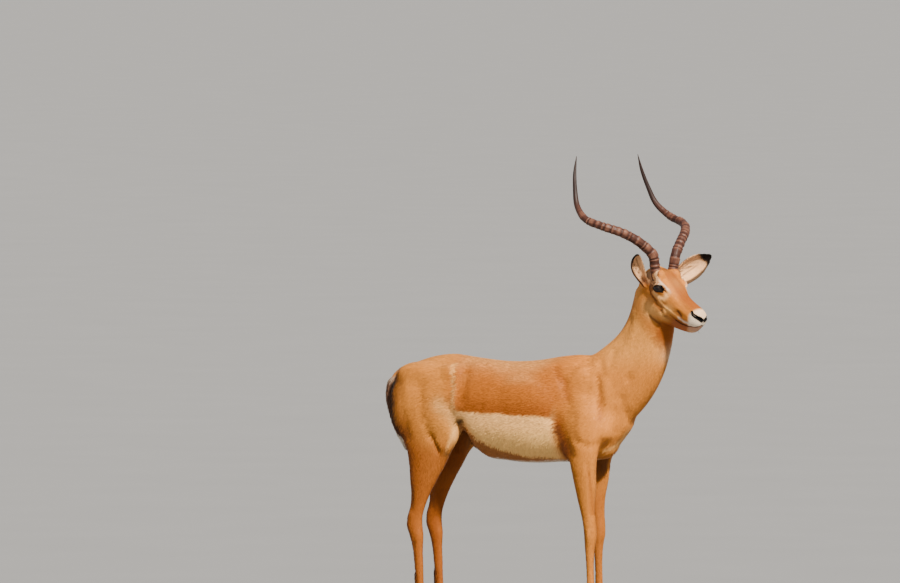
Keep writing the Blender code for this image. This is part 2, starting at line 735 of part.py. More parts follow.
def feet(legs):
    """Trims each pastern at the coronet and sets two hooves under it."""
    made = []
    slope = Vector((-0.26, 0, 1)).normalized()  # the coronet rises towards the toe
    stands = [
        ("foreleg", "left", 1, FORE_X + LEFT_FORE_STEP + 0.019, FORE_Y),
        ("foreleg", "right", -1, FORE_X + 0.019, FORE_Y),
        ("hindleg", "left", 1, HIND_X + LEFT_HIND_STEP + 0.027, HIND_Y),
        ("hindleg", "right", -1, HIND_X + 0.027, HIND_Y),
    ]
    for kind, side, s, x, y in stands:
        coronet = Vector((x, y * s, HOOF_HEIGHT))
        name = f"{kind}_lower_{side}"
        leg = next(obj for obj in legs if obj.name.startswith(name))
        legs.remove(leg)
        legs.append(kept_side(leg, name + "_cut", coronet, slope))
        remove(leg)
        for place, out in (("outer", 1), ("inner", -1)):
            across = y * s + s * out * (HOOF_WIDTH + CLEFT) / 2
            whole = hoof(x + 0.011, across, s * out)
            hoof_name = f"hoof_{kind[:-3]}_{side}_{place}"
            made.append(kept_side(whole, hoof_name, coronet, -slope))
            remove(whole)
    return made


def main():
    clear_scene()
    body = fused_body()
    swollen_body = swollen(body, GAP)
    attached = []
    for side, s in (("left", 1), ("right", -1)):
        attached.append(boolean(horn(s), swollen_body, "DIFFERENCE", f"horn_{side}"))
        attached.append(boolean(ear(s), swollen_body, "DIFFERENCE", f"ear_{side}"))
    attached.append(boolean(tail(), swollen_body, "DIFFERENCE", "tail"))
    remove(swollen_body)
    attached = [largest_piece(obj) for obj in attached]
    eyes = []
    for side, s in (("left", 1), ("right", -1)):
        at = in_head(EYE_AT.x, EYE_AT.y * s, EYE_AT.z)
        socket = ball("socket", at, (EYE_R + GAP,) * 3)
        body = boolean(body, socket, "DIFFERENCE")
        remove(socket)
        eyes.append(ball(f"eye_{side}", at, (EYE_R,) * 3, segments=14))
    legs, *middle = parted(body)
    hooves = feet(legs)
    finish([*legs, *middle, *attached, *eyes, *hooves])


def finish(nodes):
    """Names, materials, smooth shading and the place of the origin."""
    looks = {
        "horn": material("horn", COAT["horn"], 0.4),
        "hoof": material("hoof", COAT["hoof"], 0.35),
        "eye": material("eye", COAT["eye"], 0.05),
        "tail": material("white_coat", COAT["white"]),
        "trunk": material("saddle_coat", COAT["saddle"]),
    }
    tan = material("tan_coat", COAT["tan"])
    for obj in nodes:
        obj.name = obj.name.replace("_cut", "").split(".")[0]
        obj.data.name = obj.name
        obj.data.materials.clear()
        obj.data.materials.append(looks.get(obj.name.split("_")[0], tan))
        obj.data.transform(Matrix.Translation(CENTRE_SHIFT))
        obj.data.shade_smooth()
        obj.data.set_sharp_from_angle(angle=math.radians(50))


main()
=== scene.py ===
# %% [markdown]
# # An impala ram, standing, with its head turned
#
# A still, life-size model of an impala antelope, such as a museum shows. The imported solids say
# where everything is: trunk, neck, head, legs, ears, eyes, horns, tail and hooves. This script
# gives them one seamless skin, a short sleek coat of solid tufts, wet eyes with lids, ringed
# horns and hooves, and then a plain floor, soft light and a camera.
#
# Everything is built in the animal's own frame, with +X towards the chest, +Y to its left and the
# ground at z = 0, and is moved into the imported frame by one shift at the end.

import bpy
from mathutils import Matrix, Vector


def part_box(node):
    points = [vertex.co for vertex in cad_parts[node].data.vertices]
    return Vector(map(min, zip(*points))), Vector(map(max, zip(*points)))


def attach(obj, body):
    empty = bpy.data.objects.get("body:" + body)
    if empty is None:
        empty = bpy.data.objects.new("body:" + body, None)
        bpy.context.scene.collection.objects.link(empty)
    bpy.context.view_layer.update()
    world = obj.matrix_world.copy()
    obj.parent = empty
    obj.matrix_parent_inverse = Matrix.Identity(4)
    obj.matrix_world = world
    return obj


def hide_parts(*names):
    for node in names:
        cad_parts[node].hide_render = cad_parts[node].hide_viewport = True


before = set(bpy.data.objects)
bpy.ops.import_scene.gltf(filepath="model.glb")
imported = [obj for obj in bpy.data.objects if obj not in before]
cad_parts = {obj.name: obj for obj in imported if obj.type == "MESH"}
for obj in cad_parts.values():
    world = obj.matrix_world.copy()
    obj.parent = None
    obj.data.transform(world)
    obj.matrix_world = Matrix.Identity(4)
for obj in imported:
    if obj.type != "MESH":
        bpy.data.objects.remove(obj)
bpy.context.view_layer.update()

# %% Import what the modelling needs
import math

import bmesh
import bpy
import numpy as np
from mathutils import Matrix, Vector
from mathutils.bvhtree import BVHTree

# %% [markdown]
# ## Where the head is
#
# The head is turned and lowered, so its features are easiest to place in a frame of its own: x
# towards the nose, y to its left, z away from the brow. The two eye solids fix that frame. The
# line between them gives the turn, and their middle lies a little behind and above the brow.

# %% Read the head's frame from the eyes
BROW = Vector((0.607, -0.060, 1.069))
HEAD_PITCH = math.radians(30)
EYE_AT = Vector((-0.0085, 0.0495, 0.0095))


def middle(node):
    low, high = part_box(node)
    return (low + high) / 2


eye_gap = middle("eye_left") - middle("eye_right")
head_yaw = math.atan2(-eye_gap.x, eye_gap.y)
socket_low, socket_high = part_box("eye_left")
SOCKET_R = (socket_high.z - socket_low.z) / 2

LEVEL_HEAD = Matrix.Translation(BROW) @ Matrix.Rotation(head_yaw, 4, "Z")
HEAD = LEVEL_HEAD @ Matrix.Rotation(HEAD_PITCH, 4, "Y")
TO_LEFT = HEAD.to_3x3() @ Vector((0, 1, 0))
HEAD_UP = HEAD.to_3x3() @ Vector((0, 0, 1))
NOSEWARDS = HEAD.to_3x3() @ Vector((1, 0, 0))
SHIFT = (middle("eye_left") + middle("eye_right")) / 2 - HEAD @ Vector((EYE_AT.x, 0, EYE_AT.z))
print("head turned", round(math.degrees(head_yaw), 1), "degrees; shift", tuple(SHIFT))


SIDE_NAMES = {1: "left", -1: "right"}  # s = 1 is the animal's left wherever a side is meant


def in_head(x, y, z):
    return HEAD @ Vector((x, y, z))


# %% [markdown]
# ## Tools for soft bodies
#
# A limb or a trunk is a loft: a closed tube through oval sections. Each section has a half width
# and its own reach above and below, and a power that makes it squarer or more pointed. A smooth
# curve runs through the few sections that are given, so a short table holds a whole form. An
# ellipsoid does for a muscle. Joined meshes can cross each other freely, because a voxel remesh
# fuses them afterwards.

# %% Curves and meshes
def full_turn(count):
    """Angles evenly round a circle."""
    return np.linspace(0, 2 * math.pi, count, endpoint=False)


def curve_through(knots, values, at):
    """Smooth values at `at`, passing through `values` at `knots`, one row each."""
    knots, at = np.asarray(knots, float), np.asarray(at, float)
    values = np.asarray(values, float).reshape(len(knots), -1)
    slopes = np.gradient(values, knots, axis=0)
    i = np.clip(np.searchsorted(knots, at, side="right") - 1, 0, len(knots) - 2)
    span = (knots[i + 1] - knots[i])[:, None]
    t = (at[:, None] - knots[i][:, None]) / span
    return (
        (2 * t**3 - 3 * t**2 + 1) * values[i]
        + (t**3 - 2 * t**2 + t) * span * slopes[i]
        + (3 * t**2 - 2 * t**3) * values[i + 1]
        + (t**3 - t**2) * span * slopes[i + 1]
    )


def new_object(name, points, faces):
    mesh = bpy.data.meshes.new(name)
    mesh.from_pydata([tuple(p) for p in points], [], faces)
    mesh.update()
    return linked(name, mesh)


def linked(name, mesh):
    obj = bpy.data.objects.new(name, mesh)
    bpy.context.scene.collection.objects.link(obj)
    return obj


def face_out(obj):
    work = bmesh.new()
    work.from_mesh(obj.data)
    bmesh.ops.recalc_face_normals(work, faces=work.faces)
    work.to_mesh(obj.data)
    work.free()
    return obj


# %% Lofts and ellipsoids
def ring_faces(rings, around, closed_ends=True):
    """Quads between successive rings of points, with a fan at each end if wanted."""
    faces = []
    for r in range(rings - 1):
        for k in range(around):
            a, b = r * around + k, r * around + (k + 1) % around
            faces.append((a, b, b + around, a + around))
    if closed_ends:
        first, last = rings * around, rings * around + 1
        top = (rings - 1) * around
        for k in range(around):
            after = (k + 1) % around
            faces.append((first, after, k))
            faces.append((last, top + k, top + after))
    return faces


def loft(name, rows, around=28, steps=6):
    """A closed body through rows of (centre, side, up, half width, rise, drop, power)."""
    flat = np.array([[*c, *s, *u, w, r, d, p] for c, s, u, w, r, d, p in rows])
    lengths = np.linalg.norm(np.diff(flat[:, :3], axis=0), axis=1)
    knots = np.concatenate([[0], np.cumsum(np.maximum(lengths, 1e-4))])
    spans = [np.linspace(a, b, steps, endpoint=False) for a, b in zip(knots, knots[1:])]
    fine = curve_through(knots, flat, np.concatenate([*spans, knots[-1:]]))
    angle = full_turn(around)
    c, s = np.cos(angle), np.sin(angle)
    points = []
    for row in fine:
        side, up = row[3:6] / np.linalg.norm(row[3:6]), row[6:9] / np.linalg.norm(row[6:9])
        across = row[9] * np.sign(c) * np.abs(c) ** (2 / row[12])
        along = np.where(s >= 0, row[10], row[11]) * np.sign(s) * np.abs(s) ** (2 / row[12])
        points.append(row[:3] + across[:, None] * side + along[:, None] * up)
    ends = [fine[:1, :3], fine[-1:, :3]]
    points = np.concatenate([*points, *ends])
    return face_out(new_object(name, points, ring_faces(len(fine), around)))


def ball(name, centre, radii, turn=(0, 0, 0), segments=24):
    """An ellipsoid: centre, three half sizes, and its turn about X, Y and Z in degrees."""
    work = bmesh.new()
    bmesh.ops.create_uvsphere(work, u_segments=segments, v_segments=segments // 2, radius=1)
    turning = Matrix.Rotation(math.radians(turn[2]), 4, "Z")
    turning @= Matrix.Rotation(math.radians(turn[1]), 4, "Y")
    turning @= Matrix.Rotation(math.radians(turn[0]), 4, "X")
    place = Matrix.Translation(centre) @ turning @ Matrix.Diagonal((*radii, 1))
    bmesh.ops.transform(work, matrix=place, verts=work.verts)
    mesh = bpy.data.meshes.new(name)
    work.to_mesh(mesh)
    work.free()
    return linked(name, mesh)


# %% Joining meshes and applying modifiers
def joined(name, objects):
    """One object holding the meshes of all of these, which are removed."""
    work = bmesh.new()
    for obj in objects:
        work.from_mesh(obj.data)
        bpy.data.objects.remove(obj)
    mesh = bpy.data.meshes.new(name)
    work.to_mesh(mesh)
    work.free()
    return linked(name, mesh)


def applied(obj):
    """Gives the object the mesh that its modifiers make, and clears them."""
    graph = bpy.context.evaluated_depsgraph_get()
    mesh = bpy.data.meshes.new_from_object(obj.evaluated_get(graph))
    obj.modifiers.clear()
    obj.data = mesh
    return obj


# %% [markdown]
# ## The forms of trunk and neck
#
# The trunk is read like a boat's lines: from rump to breast, each section gives the height of the
# back, the widest level, the belly and the half width. The belly is drawn up in front of the
# thighs, where the skin of the flank folds. The neck leans forwards out of the shoulders, and
# twists a little towards the side that the head looks to.

# %% Trunk and neck
def trunk():
    """Rump to breast: x, back, widest level, belly, half width, power of the outline."""
    sections = [
        (-0.352, 0.775, 0.735, 0.690, 0.030, 2.0),
        (-0.340, 0.806, 0.725, 0.635, 0.062, 2.0),
        (-0.290, 0.830, 0.710, 0.590, 0.088, 2.0),
        (-0.200, 0.857, 0.712, 0.610, 0.104, 1.75),
        (-0.140, 0.861, 0.712, 0.622, 0.106, 1.60),
        (-0.100, 0.855, 0.702, 0.608, 0.109, 1.70),
        (-0.060, 0.849, 0.688, 0.557, 0.114, 2.05),
        (0.040, 0.841, 0.672, 0.530, 0.124, 2.1),
        (0.140, 0.847, 0.668, 0.526, 0.125, 2.1),
        (0.220, 0.861, 0.664, 0.531, 0.114, 2.0),
        (0.300, 0.866, 0.655, 0.532, 0.098, 1.9),
        (0.350, 0.855, 0.655, 0.544, 0.088, 1.9),
        (0.400, 0.810, 0.665, 0.580, 0.070, 1.9),
        (0.452, 0.750, 0.690, 0.640, 0.040, 2.0),
    ]
    side, up = Vector((0, 1, 0)), Vector((0, 0, 1))
    rows = [
        (Vector((x, 0, wide)), side, up, width, back - wide, wide - belly, power)
        for x, back, wide, belly, width, power in sections
    ]
    return loft("trunk_form", rows, around=48)


NECK_LINE = [  # x, y, z, half width, towards nape, towards throat
    (0.285, 0.000, 0.700, 0.070, 0.120, 0.120),
    (0.360, 0.000, 0.752, 0.076, 0.119, 0.128),
    (0.430, 0.000, 0.815, 0.069, 0.108, 0.121),
    (0.486, -0.008, 0.885, 0.059, 0.094, 0.104),
    (0.516, -0.018, 0.955, 0.053, 0.080, 0.092),
    (0.530, -0.026, 1.020, 0.050, 0.069, 0.088),
    (0.536, -0.032, 1.075, 0.047, 0.060, 0.078),
]


def directions(centres):
    """The way a line of points runs at each of them."""
    befores, afters = [centres[0], *centres[:-1]], [*centres[1:], centres[-1]]
    return [(after - before).normalized() for before, after in zip(befores, afters)]


def neck():
    """From inside the breast up to the skull."""
    centres = [Vector(row[:3]) for row in NECK_LINE]
    last = len(centres) - 1
    rows = []
    for i, (along, (*_, width, nape, throat)) in enumerate(zip(directions(centres), NECK_LINE)):
        side = Vector((0, 1, 0)).lerp(TO_LEFT, i / last)
        side = (side - along * side.dot(along)).normalized()
        rows.append((centres[i], side, along.cross(side), width, nape, throat, 2.0))
    return loft("neck_form", rows, around=36)


# %% [markdown]
# ## The forms of the head
#
# An antelope's head is a wedge: a deep, narrow skull that runs out into a slim muzzle, with a
# separate lower jaw below it. Small ellipsoids add the bony brow over each eye, the boss that
# each horn grows from, the flat cheek muscle and the wing of each nostril. Each eyeball gets a
# mound of skin, which the lids are cut from later.

# %% Skull, jaw, brows, cheeks and nostrils
def head_loft(name, sections, around=36):
    """Head's frame, back to nose: x, top, widest level, bottom, half width, power."""
    rows = [
        (in_head(x, 0, wide), TO_LEFT, HEAD_UP, width, top - wide, wide - bottom, power)
        for x, top, wide, bottom, width, power in sections
    ]
    return loft(name, rows, around=around)


def head_forms():
    skull = [
        (-0.110, 0.010, -0.020, -0.050, 0.026, 2.0),
        (-0.097, 0.033, -0.016, -0.064, 0.040, 2.0),
        (-0.070, 0.046, -0.010, -0.076, 0.047, 2.0),
        (-0.040, 0.050, -0.004, -0.080, 0.0505, 2.1),
        (-0.012, 0.044, 0.002, -0.080, 0.053, 2.1),
        (0.015, 0.038, 0.002, -0.076, 0.0505, 2.1),
        (0.043, 0.029, -0.008, -0.070, 0.042, 2.15),
        (0.069, 0.0235, -0.014, -0.062, 0.0355, 2.2),
        (0.095, 0.0225, -0.016, -0.055, 0.032, 2.3),
        (0.121, 0.0225, -0.015, -0.050, 0.0305, 2.4),
        (0.140, 0.021, -0.014, -0.045, 0.030, 2.5),
        (0.155, 0.0155, -0.014, -0.039, 0.0265, 2.5),
        (0.162, 0.008, -0.015, -0.035, 0.021, 2.4),
        (0.167, -0.002, -0.017, -0.029, 0.0115, 2.1),
    ]
    jaw = [
        (-0.055, -0.045, -0.068, -0.084, 0.024, 2.0),
        (-0.040, -0.040, -0.070, -0.097, 0.034, 2.0),
        (-0.010, -0.040, -0.071, -0.101, 0.0355, 2.0),
        (0.025, -0.045, -0.070, -0.099, 0.032, 2.0),
        (0.055, -0.048, -0.066, -0.090, 0.0265, 2.0),
        (0.090, -0.045, -0.060, -0.081, 0.021, 2.1),
        (0.124, -0.038, -0.052, -0.071, 0.0175, 2.2),
        (0.148, -0.032, -0.043, -0.060, 0.0165, 2.3),
        (0.158, -0.030, -0.039, -0.050, 0.0135, 2.2),
        (0.163, -0.032, -0.037, -0.043, 0.0065, 2.0),
    ]
    made = [head_loft("skull_form", skull), head_loft("jaw_form", jaw, around=28)]
    turn, pitch = math.degrees(head_yaw), math.degrees(HEAD_PITCH)
    mound = SOCKET_R + 0.0004
    for s in (1, -1):
        forms = [
            ((-0.010, 0.0475 * s, 0.024), (0.026, 0.012, 0.0115)),  # brow
            ((-0.039, 0.033 * s, 0.035), (0.024, 0.021, 0.021)),  # root of the horn
            ((-0.004, 0.033 * s, -0.046), (0.054, 0.0145, 0.038)),  # cheek
            ((0.148, 0.017 * s, -0.006), (0.018, 0.011, 0.013)),  # nostril
            ((EYE_AT.x, EYE_AT.y * s, EYE_AT.z), (mound, mound, mound)),  # eyeball
        ]
        made += [ball("form", in_head(*at), radii, (0, pitch, turn)) for at, radii in forms]
    return made


# %% [markdown]
# ## The forms of the legs
#
# A hoofed animal stands on its toenails. Above the hoof come the slanting pastern, the round
# fetlock and the long straight cannon bone. In front follows the knee, which is really a wrist,
# and behind the hock, which is a heel with its point at the back. Level oval sections from top to
# bottom describe each leg; the top ones lie inside the trunk and shape shoulder and haunch.

# %% Forelegs and hind legs
FORE_X, HIND_X, FORE_Y, HIND_Y = 0.340, -0.243, 0.066, 0.078
LEFT_FORE_STEP, LEFT_HIND_STEP = -0.030, -0.006


def column(name, sections):
    """A limb through level ovals: z, x, y, half length fore and aft, half width."""
    side, forward = Vector((0, 1, 0)), Vector((1, 0, 0))
    rows = [
        (Vector((x, y, z)), side, forward, wide, length, length, 2.0)
        for z, x, y, length, wide in sections
    ]
    return loft(name, rows, around=28, steps=6)


def foreleg(s, step):
    x, y = FORE_X + step, FORE_Y * s
    sections = [
        (0.740, 0.315, 0.062 * s, 0.052, 0.030),
        (0.680, 0.325, 0.070 * s, 0.066, 0.034),
        (0.620, 0.322 + step * 0.2, 0.076 * s, 0.066, 0.034),
        (0.570, 0.317 + step * 0.4, 0.077 * s, 0.056, 0.033),
        (0.520, 0.320 + step * 0.6, 0.076 * s, 0.044, 0.031),
        (0.470, 0.325 + step * 0.8, 0.073 * s, 0.037, 0.027),
        (0.415, x - 0.011, 0.070 * s, 0.029, 0.0225),
        (0.360, x - 0.005, 0.068 * s, 0.0222, 0.0185),
        (0.328, x - 0.001, 0.067 * s, 0.0208, 0.0185),
        (0.300, x, 0.066 * s, 0.020, 0.018),
        (0.272, x - 0.002, y, 0.0165, 0.015),
        (0.235, x - 0.002, y, 0.0135, 0.0125),
        (0.150, x, y, 0.0125, 0.0118),
        (0.108, x, y, 0.014, 0.0135),
        (0.086, x + 0.001, y, 0.0165, 0.0162),
        (0.066, x + 0.006, y, 0.0148, 0.0155),
        (0.048, x + 0.013, y, 0.0145, 0.0165),
        (0.030, x + 0.019, y, 0.0172, 0.0172),
        (0.022, x + 0.020, y, 0.015, 0.015),
    ]
    return column("foreleg_form", sections)


def hindleg(s, step):
    x, y = HIND_X + step, HIND_Y * s
    sections = [
        (0.790, -0.235, 0.050 * s, 0.080, 0.036),
        (0.740, -0.228, 0.056 * s, 0.122, 0.042),
        (0.690, -0.218, 0.061 * s, 0.124, 0.044),
        (0.640, -0.208, 0.064 * s, 0.114, 0.043),
        (0.600, -0.207, 0.066 * s, 0.097, 0.040),
        (0.560, -0.211, 0.068 * s, 0.080, 0.037),
        (0.515, -0.217 + step * 0.5, 0.071 * s, 0.064, 0.033),
        (0.470, -0.227 + step, 0.074 * s, 0.047, 0.028),
        (0.428, -0.237 + step, 0.076 * s, 0.034, 0.023),
        (0.385, -0.247 + step, 0.077 * s, 0.0255, 0.018),
        (0.350, -0.256 + step, 0.078 * s, 0.025, 0.017),
        (0.322, -0.2575 + step, y, 0.0265, 0.0175),
        (0.292, -0.251 + step, y, 0.023, 0.017),
        (0.255, x - 0.004, y, 0.0175, 0.014),
        (0.200, x, y, 0.0148, 0.0124),
        (0.125, x + 0.004, y, 0.014, 0.0124),
        (0.100, x + 0.006, y, 0.0152, 0.014),
        (0.082, x + 0.008, y, 0.017, 0.016),
        (0.062, x + 0.014, y, 0.0148, 0.0155),
        (0.046, x + 0.021, y, 0.014, 0.0162),
        (0.030, x + 0.027, y, 0.017, 0.0172),
        (0.022, x + 0.028, y, 0.015, 0.015),
    ]
    return column("hindleg_form", sections)


# %% [markdown]
# ## Muscles and underside
#
# What makes an animal look alive rather than inflated is the muscle under the skin. A dozen
# ellipsoids on each side stand for the shoulder blade, the upper arm, the croup, the thigh and
# the stifle, and the ribs lift the barrel of the chest. The smoothing that follows blends them.

# %% Muscles, brisket, sheath and scrotum
def muscles():
    """Centre, half sizes, turn about Y; each one is made on both sides."""
    forms = [
        ((0.292, 0.060, 0.730), (0.060, 0.026, 0.110), 18),  # shoulder blade
        ((0.372, 0.060, 0.640), (0.045, 0.028, 0.048), 0),  # point of the shoulder
        ((0.290, 0.080, 0.622), (0.062, 0.027, 0.052), -25),  # upper arm
        ((0.268, 0.076, 0.566), (0.022, 0.017, 0.028), 0),  # elbow
        ((-0.215, 0.050, 0.778), (0.120, 0.042, 0.056), 10),  # croup
        ((-0.140, 0.062, 0.796), (0.044, 0.024, 0.034), 0),  # hip bone
        ((-0.280, 0.060, 0.700), (0.060, 0.044, 0.110), 14),  # back of the thigh
        ((-0.165, 0.078, 0.650), (0.062, 0.034, 0.095), -12),  # front of the thigh
        ((-0.158, 0.078, 0.588), (0.040, 0.029, 0.045), 0),  # stifle
        ((-0.085, 0.086, 0.700), (0.050, 0.018, 0.040), -30),  # fold of the flank
        ((0.120, 0.072, 0.690), (0.160, 0.056, 0.115), 0),  # ribs
    ]
    return [
        ball("muscle", (c[0], c[1] * s, c[2]), radii, (0, turn, 0))
        for c, radii, turn in forms
        for s in (1, -1)
    ]


def underside():
    return [
        ball("brisket", (0.350, 0, 0.600), (0.060, 0.050, 0.060), (0, -40, 0)),
        ball("sheath", (-0.052, 0, 0.566), (0.056, 0.017, 0.015), (0, 22, 0)),
        ball("scrotum", (-0.215, 0, 0.596), (0.026, 0.028, 0.038), (0, 0, 0)),
    ]


# %% [markdown]
# ## Ears and tail
#
# An ear is a leaf rolled into a tube at its root and opening into a cup. Its sections are arcs:
# the arc closes almost into a ring at the root, and flattens towards the tip. Two such skins, one
# inside the other, make the shell. The ears are held differently: the one on the far side is
# pricked forwards. The tail is a slim dock that hangs close against the rump; its bush of hair
# comes later.

# %% Ear shells and the dock of the tail
EAR_WIDTHS, EAR_WALL = {1: 0.074, -1: 0.050}, 0.005
EAR_SAGS = {1: 0.005, -1: 0.0}  # how far the leaf hangs below its middle line
EAR_ROOT = Vector((-0.062, 0.034, 0.006))
EAR_TIPS = {1: Vector((0.012, 0.172, 0.108)), -1: Vector((-0.008, 0.141, 0.118))}
EAR_FACINGS = {1: Vector((1.0, -0.25, 0.10)), -1: Vector((1.00, 0.30, 0.05))}


# Share of the way to the tip, with the share of the full width, and with half of the arc that
# the leaf is curled to, in degrees.
EAR_OUTLINE = [(0, 0.44), (0.15, 0.50), (0.30, 0.68), (0.50, 0.95), (0.70, 0.94), (0.88, 0.60)]
EAR_OUTLINE += [(1, 0.12)]
EAR_CURL = [(0, 172), (0.20, 125), (0.45, 84), (0.80, 66), (1, 60)]


def mirrored(v, s):
    return Vector((v.x, v.y * s, v.z))


def ear_axes(s):
    """Root, tip, the way the cup opens, and across, for one ear."""
    root = np.array(LEVEL_HEAD @ mirrored(EAR_ROOT, s))
    tip = np.array(LEVEL_HEAD @ mirrored(EAR_TIPS[s], s))
    along = (tip - root) / np.linalg.norm(tip - root)
    ahead = np.array(LEVEL_HEAD.to_3x3() @ mirrored(EAR_FACINGS[s], s).normalized())
    opening = ahead - along * ahead.dot(along)
    opening /= np.linalg.norm(opening)
    return root, tip, along, opening, np.cross(opening, along)


def ear_sections(share, s):
    """Radius and half angle of the arcs at these shares of the ear, and their centres."""
    root, tip, _, opening, across = ear_axes(s)
    half = EAR_WIDTHS[s] / 2 * curve_through(*zip(*EAR_OUTLINE), share)[:, 0]
    curl = np.radians(curve_through(*zip(*EAR_CURL), share)[:, 0])
    radius = half / np.sin(np.minimum(curl, math.pi / 2))
    ahead = 0.35 * radius * np.cos(curl) - 0.048 * share * (1 - share)
    aside = -EAR_SAGS[s] * np.sin(math.pi * share)
    centre = root + np.outer(share, tip - root) + np.outer(ahead, opening) + np.outer(aside, across)
    return radius, curl, centre


def ear(s):
    _, _, _, opening, across = ear_axes(s)
    share = np.linspace(0, 1, 40)
    wall = EAR_WALL * (1 - 0.30 * share)
    turns = np.linspace(-1, 1, 29)
    edge = 0.60 + 0.40 * np.sqrt(np.clip(1 - turns**2, 0, 1))
    rings = []
    for radius, curl, centre, thick in zip(*ear_sections(share, s), wall):
        swing = turns * curl
        ring = []
        for reach in (radius, radius - thick * edge):
            out = (reach * np.sin(swing))[:, None] * across
            ring.append(centre + out - (reach * np.cos(swing))[:, None] * opening)
        rings.append(np.concatenate([ring[0], ring[1][::-1]]))
    around = len(rings[0])
    faces = ring_faces(len(rings), around, closed_ends=False)
    for base in (0, (len(rings) - 1) * around):
        for k in range(len(turns) - 1):
            far = base + around - 1 - k
            faces.append((base + k, base + k + 1, far - 1, far))
    return face_out(new_object("ear_form", np.concatenate(rings), faces))


TAIL_LINE = [  # x, z, half width, half thickness
    (-0.290, 0.804, 0.014, 0.014),
    (-0.345, 0.799, 0.017, 0.013),
    (-0.370, 0.766, 0.019, 0.012),
    (-0.3765, 0.725, 0.020, 0.011),
    (-0.360, 0.659, 0.020, 0.011),
    (-0.332, 0.596, 0.016, 0.010),
    (-0.316, 0.560, 0.009, 0.006),
]


def tail():
    centres = [Vector((x, 0, z)) for x, z, *_ in TAIL_LINE]
    side = Vector((0, 1, 0))
    rows = [
        (centre, side, along.cross(side), width, thick, thick, 2.0)
        for centre, along, (_, _, width, thick) in zip(centres, directions(centres), TAIL_LINE)
    ]
    return loft("tail_form", rows, around=20, steps=5)


# %% [markdown]
# ## One skin out of all the forms
#
# Boolean unions would leave a hard crease at every crossing. A voxel remesh turns the whole heap
# into one closed surface of even little squares, and repeated smoothing melts the crossings away,
# strongly on the trunk and hardly at all on face, ears and feet. How far the smoothing reaches
# goes with the square root of the number of passes, so the weight at a vertex is the square of
# the blur wanted there.

# %% Fuse the forms
SKIN_VOXEL = 0.0021
TRUNK_BLUR = 0.018  # how far the smoothing reaches on the trunk

forms = [trunk(), neck(), *head_forms(), *muscles(), *underside(), tail(), ear(1), ear(-1)]
for s, fore_step, hind_step in ((1, LEFT_FORE_STEP, LEFT_HIND_STEP), (-1, 0, 0)):
    forms += [foreleg(s, fore_step), hindleg(s, hind_step)]
skin = joined("skin", forms)
fuse = skin.modifiers.new("fuse", "REMESH")
fuse.mode, fuse.voxel_size = "VOXEL", SKIN_VOXEL
applied(skin)
print("fused skin:", len(skin.data.vertices), "vertices")

# %% [markdown]
# From here on the mesh is worked on as arrays of points. `step` and `blob` say how strongly
# something holds at each point, from 0 to 1, and the helpers after them say where a point lies.

# %% Helpers on arrays of points
def read(items, name, width, kind=np.float32):
    """One property of all items of a mesh, as rows of this width."""
    flat = np.empty(len(items) * width, kind)
    items.foreach_get(name, flat)
    return flat.reshape(-1, width)


def read_points(mesh):
    return read(mesh.vertices, "co", 3).astype(float)


def read_normals(mesh):
    return read(mesh.vertex_normals, "vector", 3).astype(float)


def write_points(mesh, points):
    mesh.vertices.foreach_set("co", points.astype(np.float32).ravel())
    mesh.update()


def step(values, low, high):
    """0 below low, 1 above high, and a smooth rise between. It falls where high < low."""
    t = np.clip((values - low) / (high - low), 0, 1)
    return t * t * (3 - 2 * t)


def hump(values, middle, width):
    """1 where a value is at the middle, fading to nothing about two widths away."""
    return np.exp(-(((values - middle) / width) ** 2))


def unit(vectors):
    """The same directions, one unit long."""
    return vectors / np.maximum(np.linalg.norm(vectors, axis=-1, keepdims=True), 1e-6)


def blob(points, centre, radii):
    """1 at the centre, fading to nothing at about the given radii."""
    off = (points - np.array(centre, float)) / np.array(radii, float)
    return np.exp(-1.5 * (off**2).sum(axis=1))


def to_line(points, line):
    """Distance to a polyline, and how far along it the nearest place is, from 0 to 1."""
    line = np.array(line, float)
    spans = np.diff(line, axis=0)
    lengths = np.linalg.norm(spans, axis=1)
    starts = np.concatenate([[0], np.cumsum(lengths)])
    best = np.full(len(points), 1e9)
    where = np.zeros(len(points))
    for a, span, length, start in zip(line, spans, lengths, starts):
        t = np.clip((points - a) @ span / length**2, 0, 1)
        gap = np.linalg.norm(points - a - t[:, None] * span, axis=1)
        nearer = gap < best
        best = np.where(nearer, gap, best)
        where = np.where(nearer, start + t * length, where)
    return best, where / starts[-1]


# %% Where a point lies on head, ears and tail
HEAD_TURN = np.array(HEAD.to_3x3())
EAR_START = (0.04, 0.16)  # shares of the ear between which the head turns into it


def folded(points):
    """Right and left halves laid on each other, so that one line serves both."""
    return points * [1, 0, 1] + np.abs(points) * [0, 1, 0]


def in_head_frame(points):
    return (points - np.array(BROW)) @ HEAD_TURN


def head_places(points):
    """Points in the head's frame, with its two sides laid on each other."""
    return folded(in_head_frame(points))


def on_head(points):
    """1 on the head, fading to 0 behind the jaw and the nape."""
    off = points - np.array(in_head(-0.070, 0, -0.105))
    across = HEAD_TURN @ np.array([0.45, 0, 0.89])
    return step(off @ across, -0.015, 0.030)


def ear_places(points, s):
    """Share of the way from root to tip, and distance from the axis, for one ear."""
    root, tip, along, _, _ = ear_axes(s)
    off = points - root
    reach = off @ along
    radius = np.linalg.norm(off - reach[:, None] * along, axis=1)
    return reach / np.linalg.norm(tip - root), radius


def on_ear(points, s, start, full):
    """1 on one ear, fading to 0 towards its root, where the head begins."""
    share, radius = ear_places(points, s)
    reach = np.minimum(0.024 + 0.060 * np.clip(share, 0, 1), 0.056)
    return step(share, start, full) * step(radius, reach + 0.004, reach) * (share < 1.2)


def on_ears(points):
    return np.maximum(on_ear(points, 1, 0.10, 0.30), on_ear(points, -1, 0.10, 0.30))


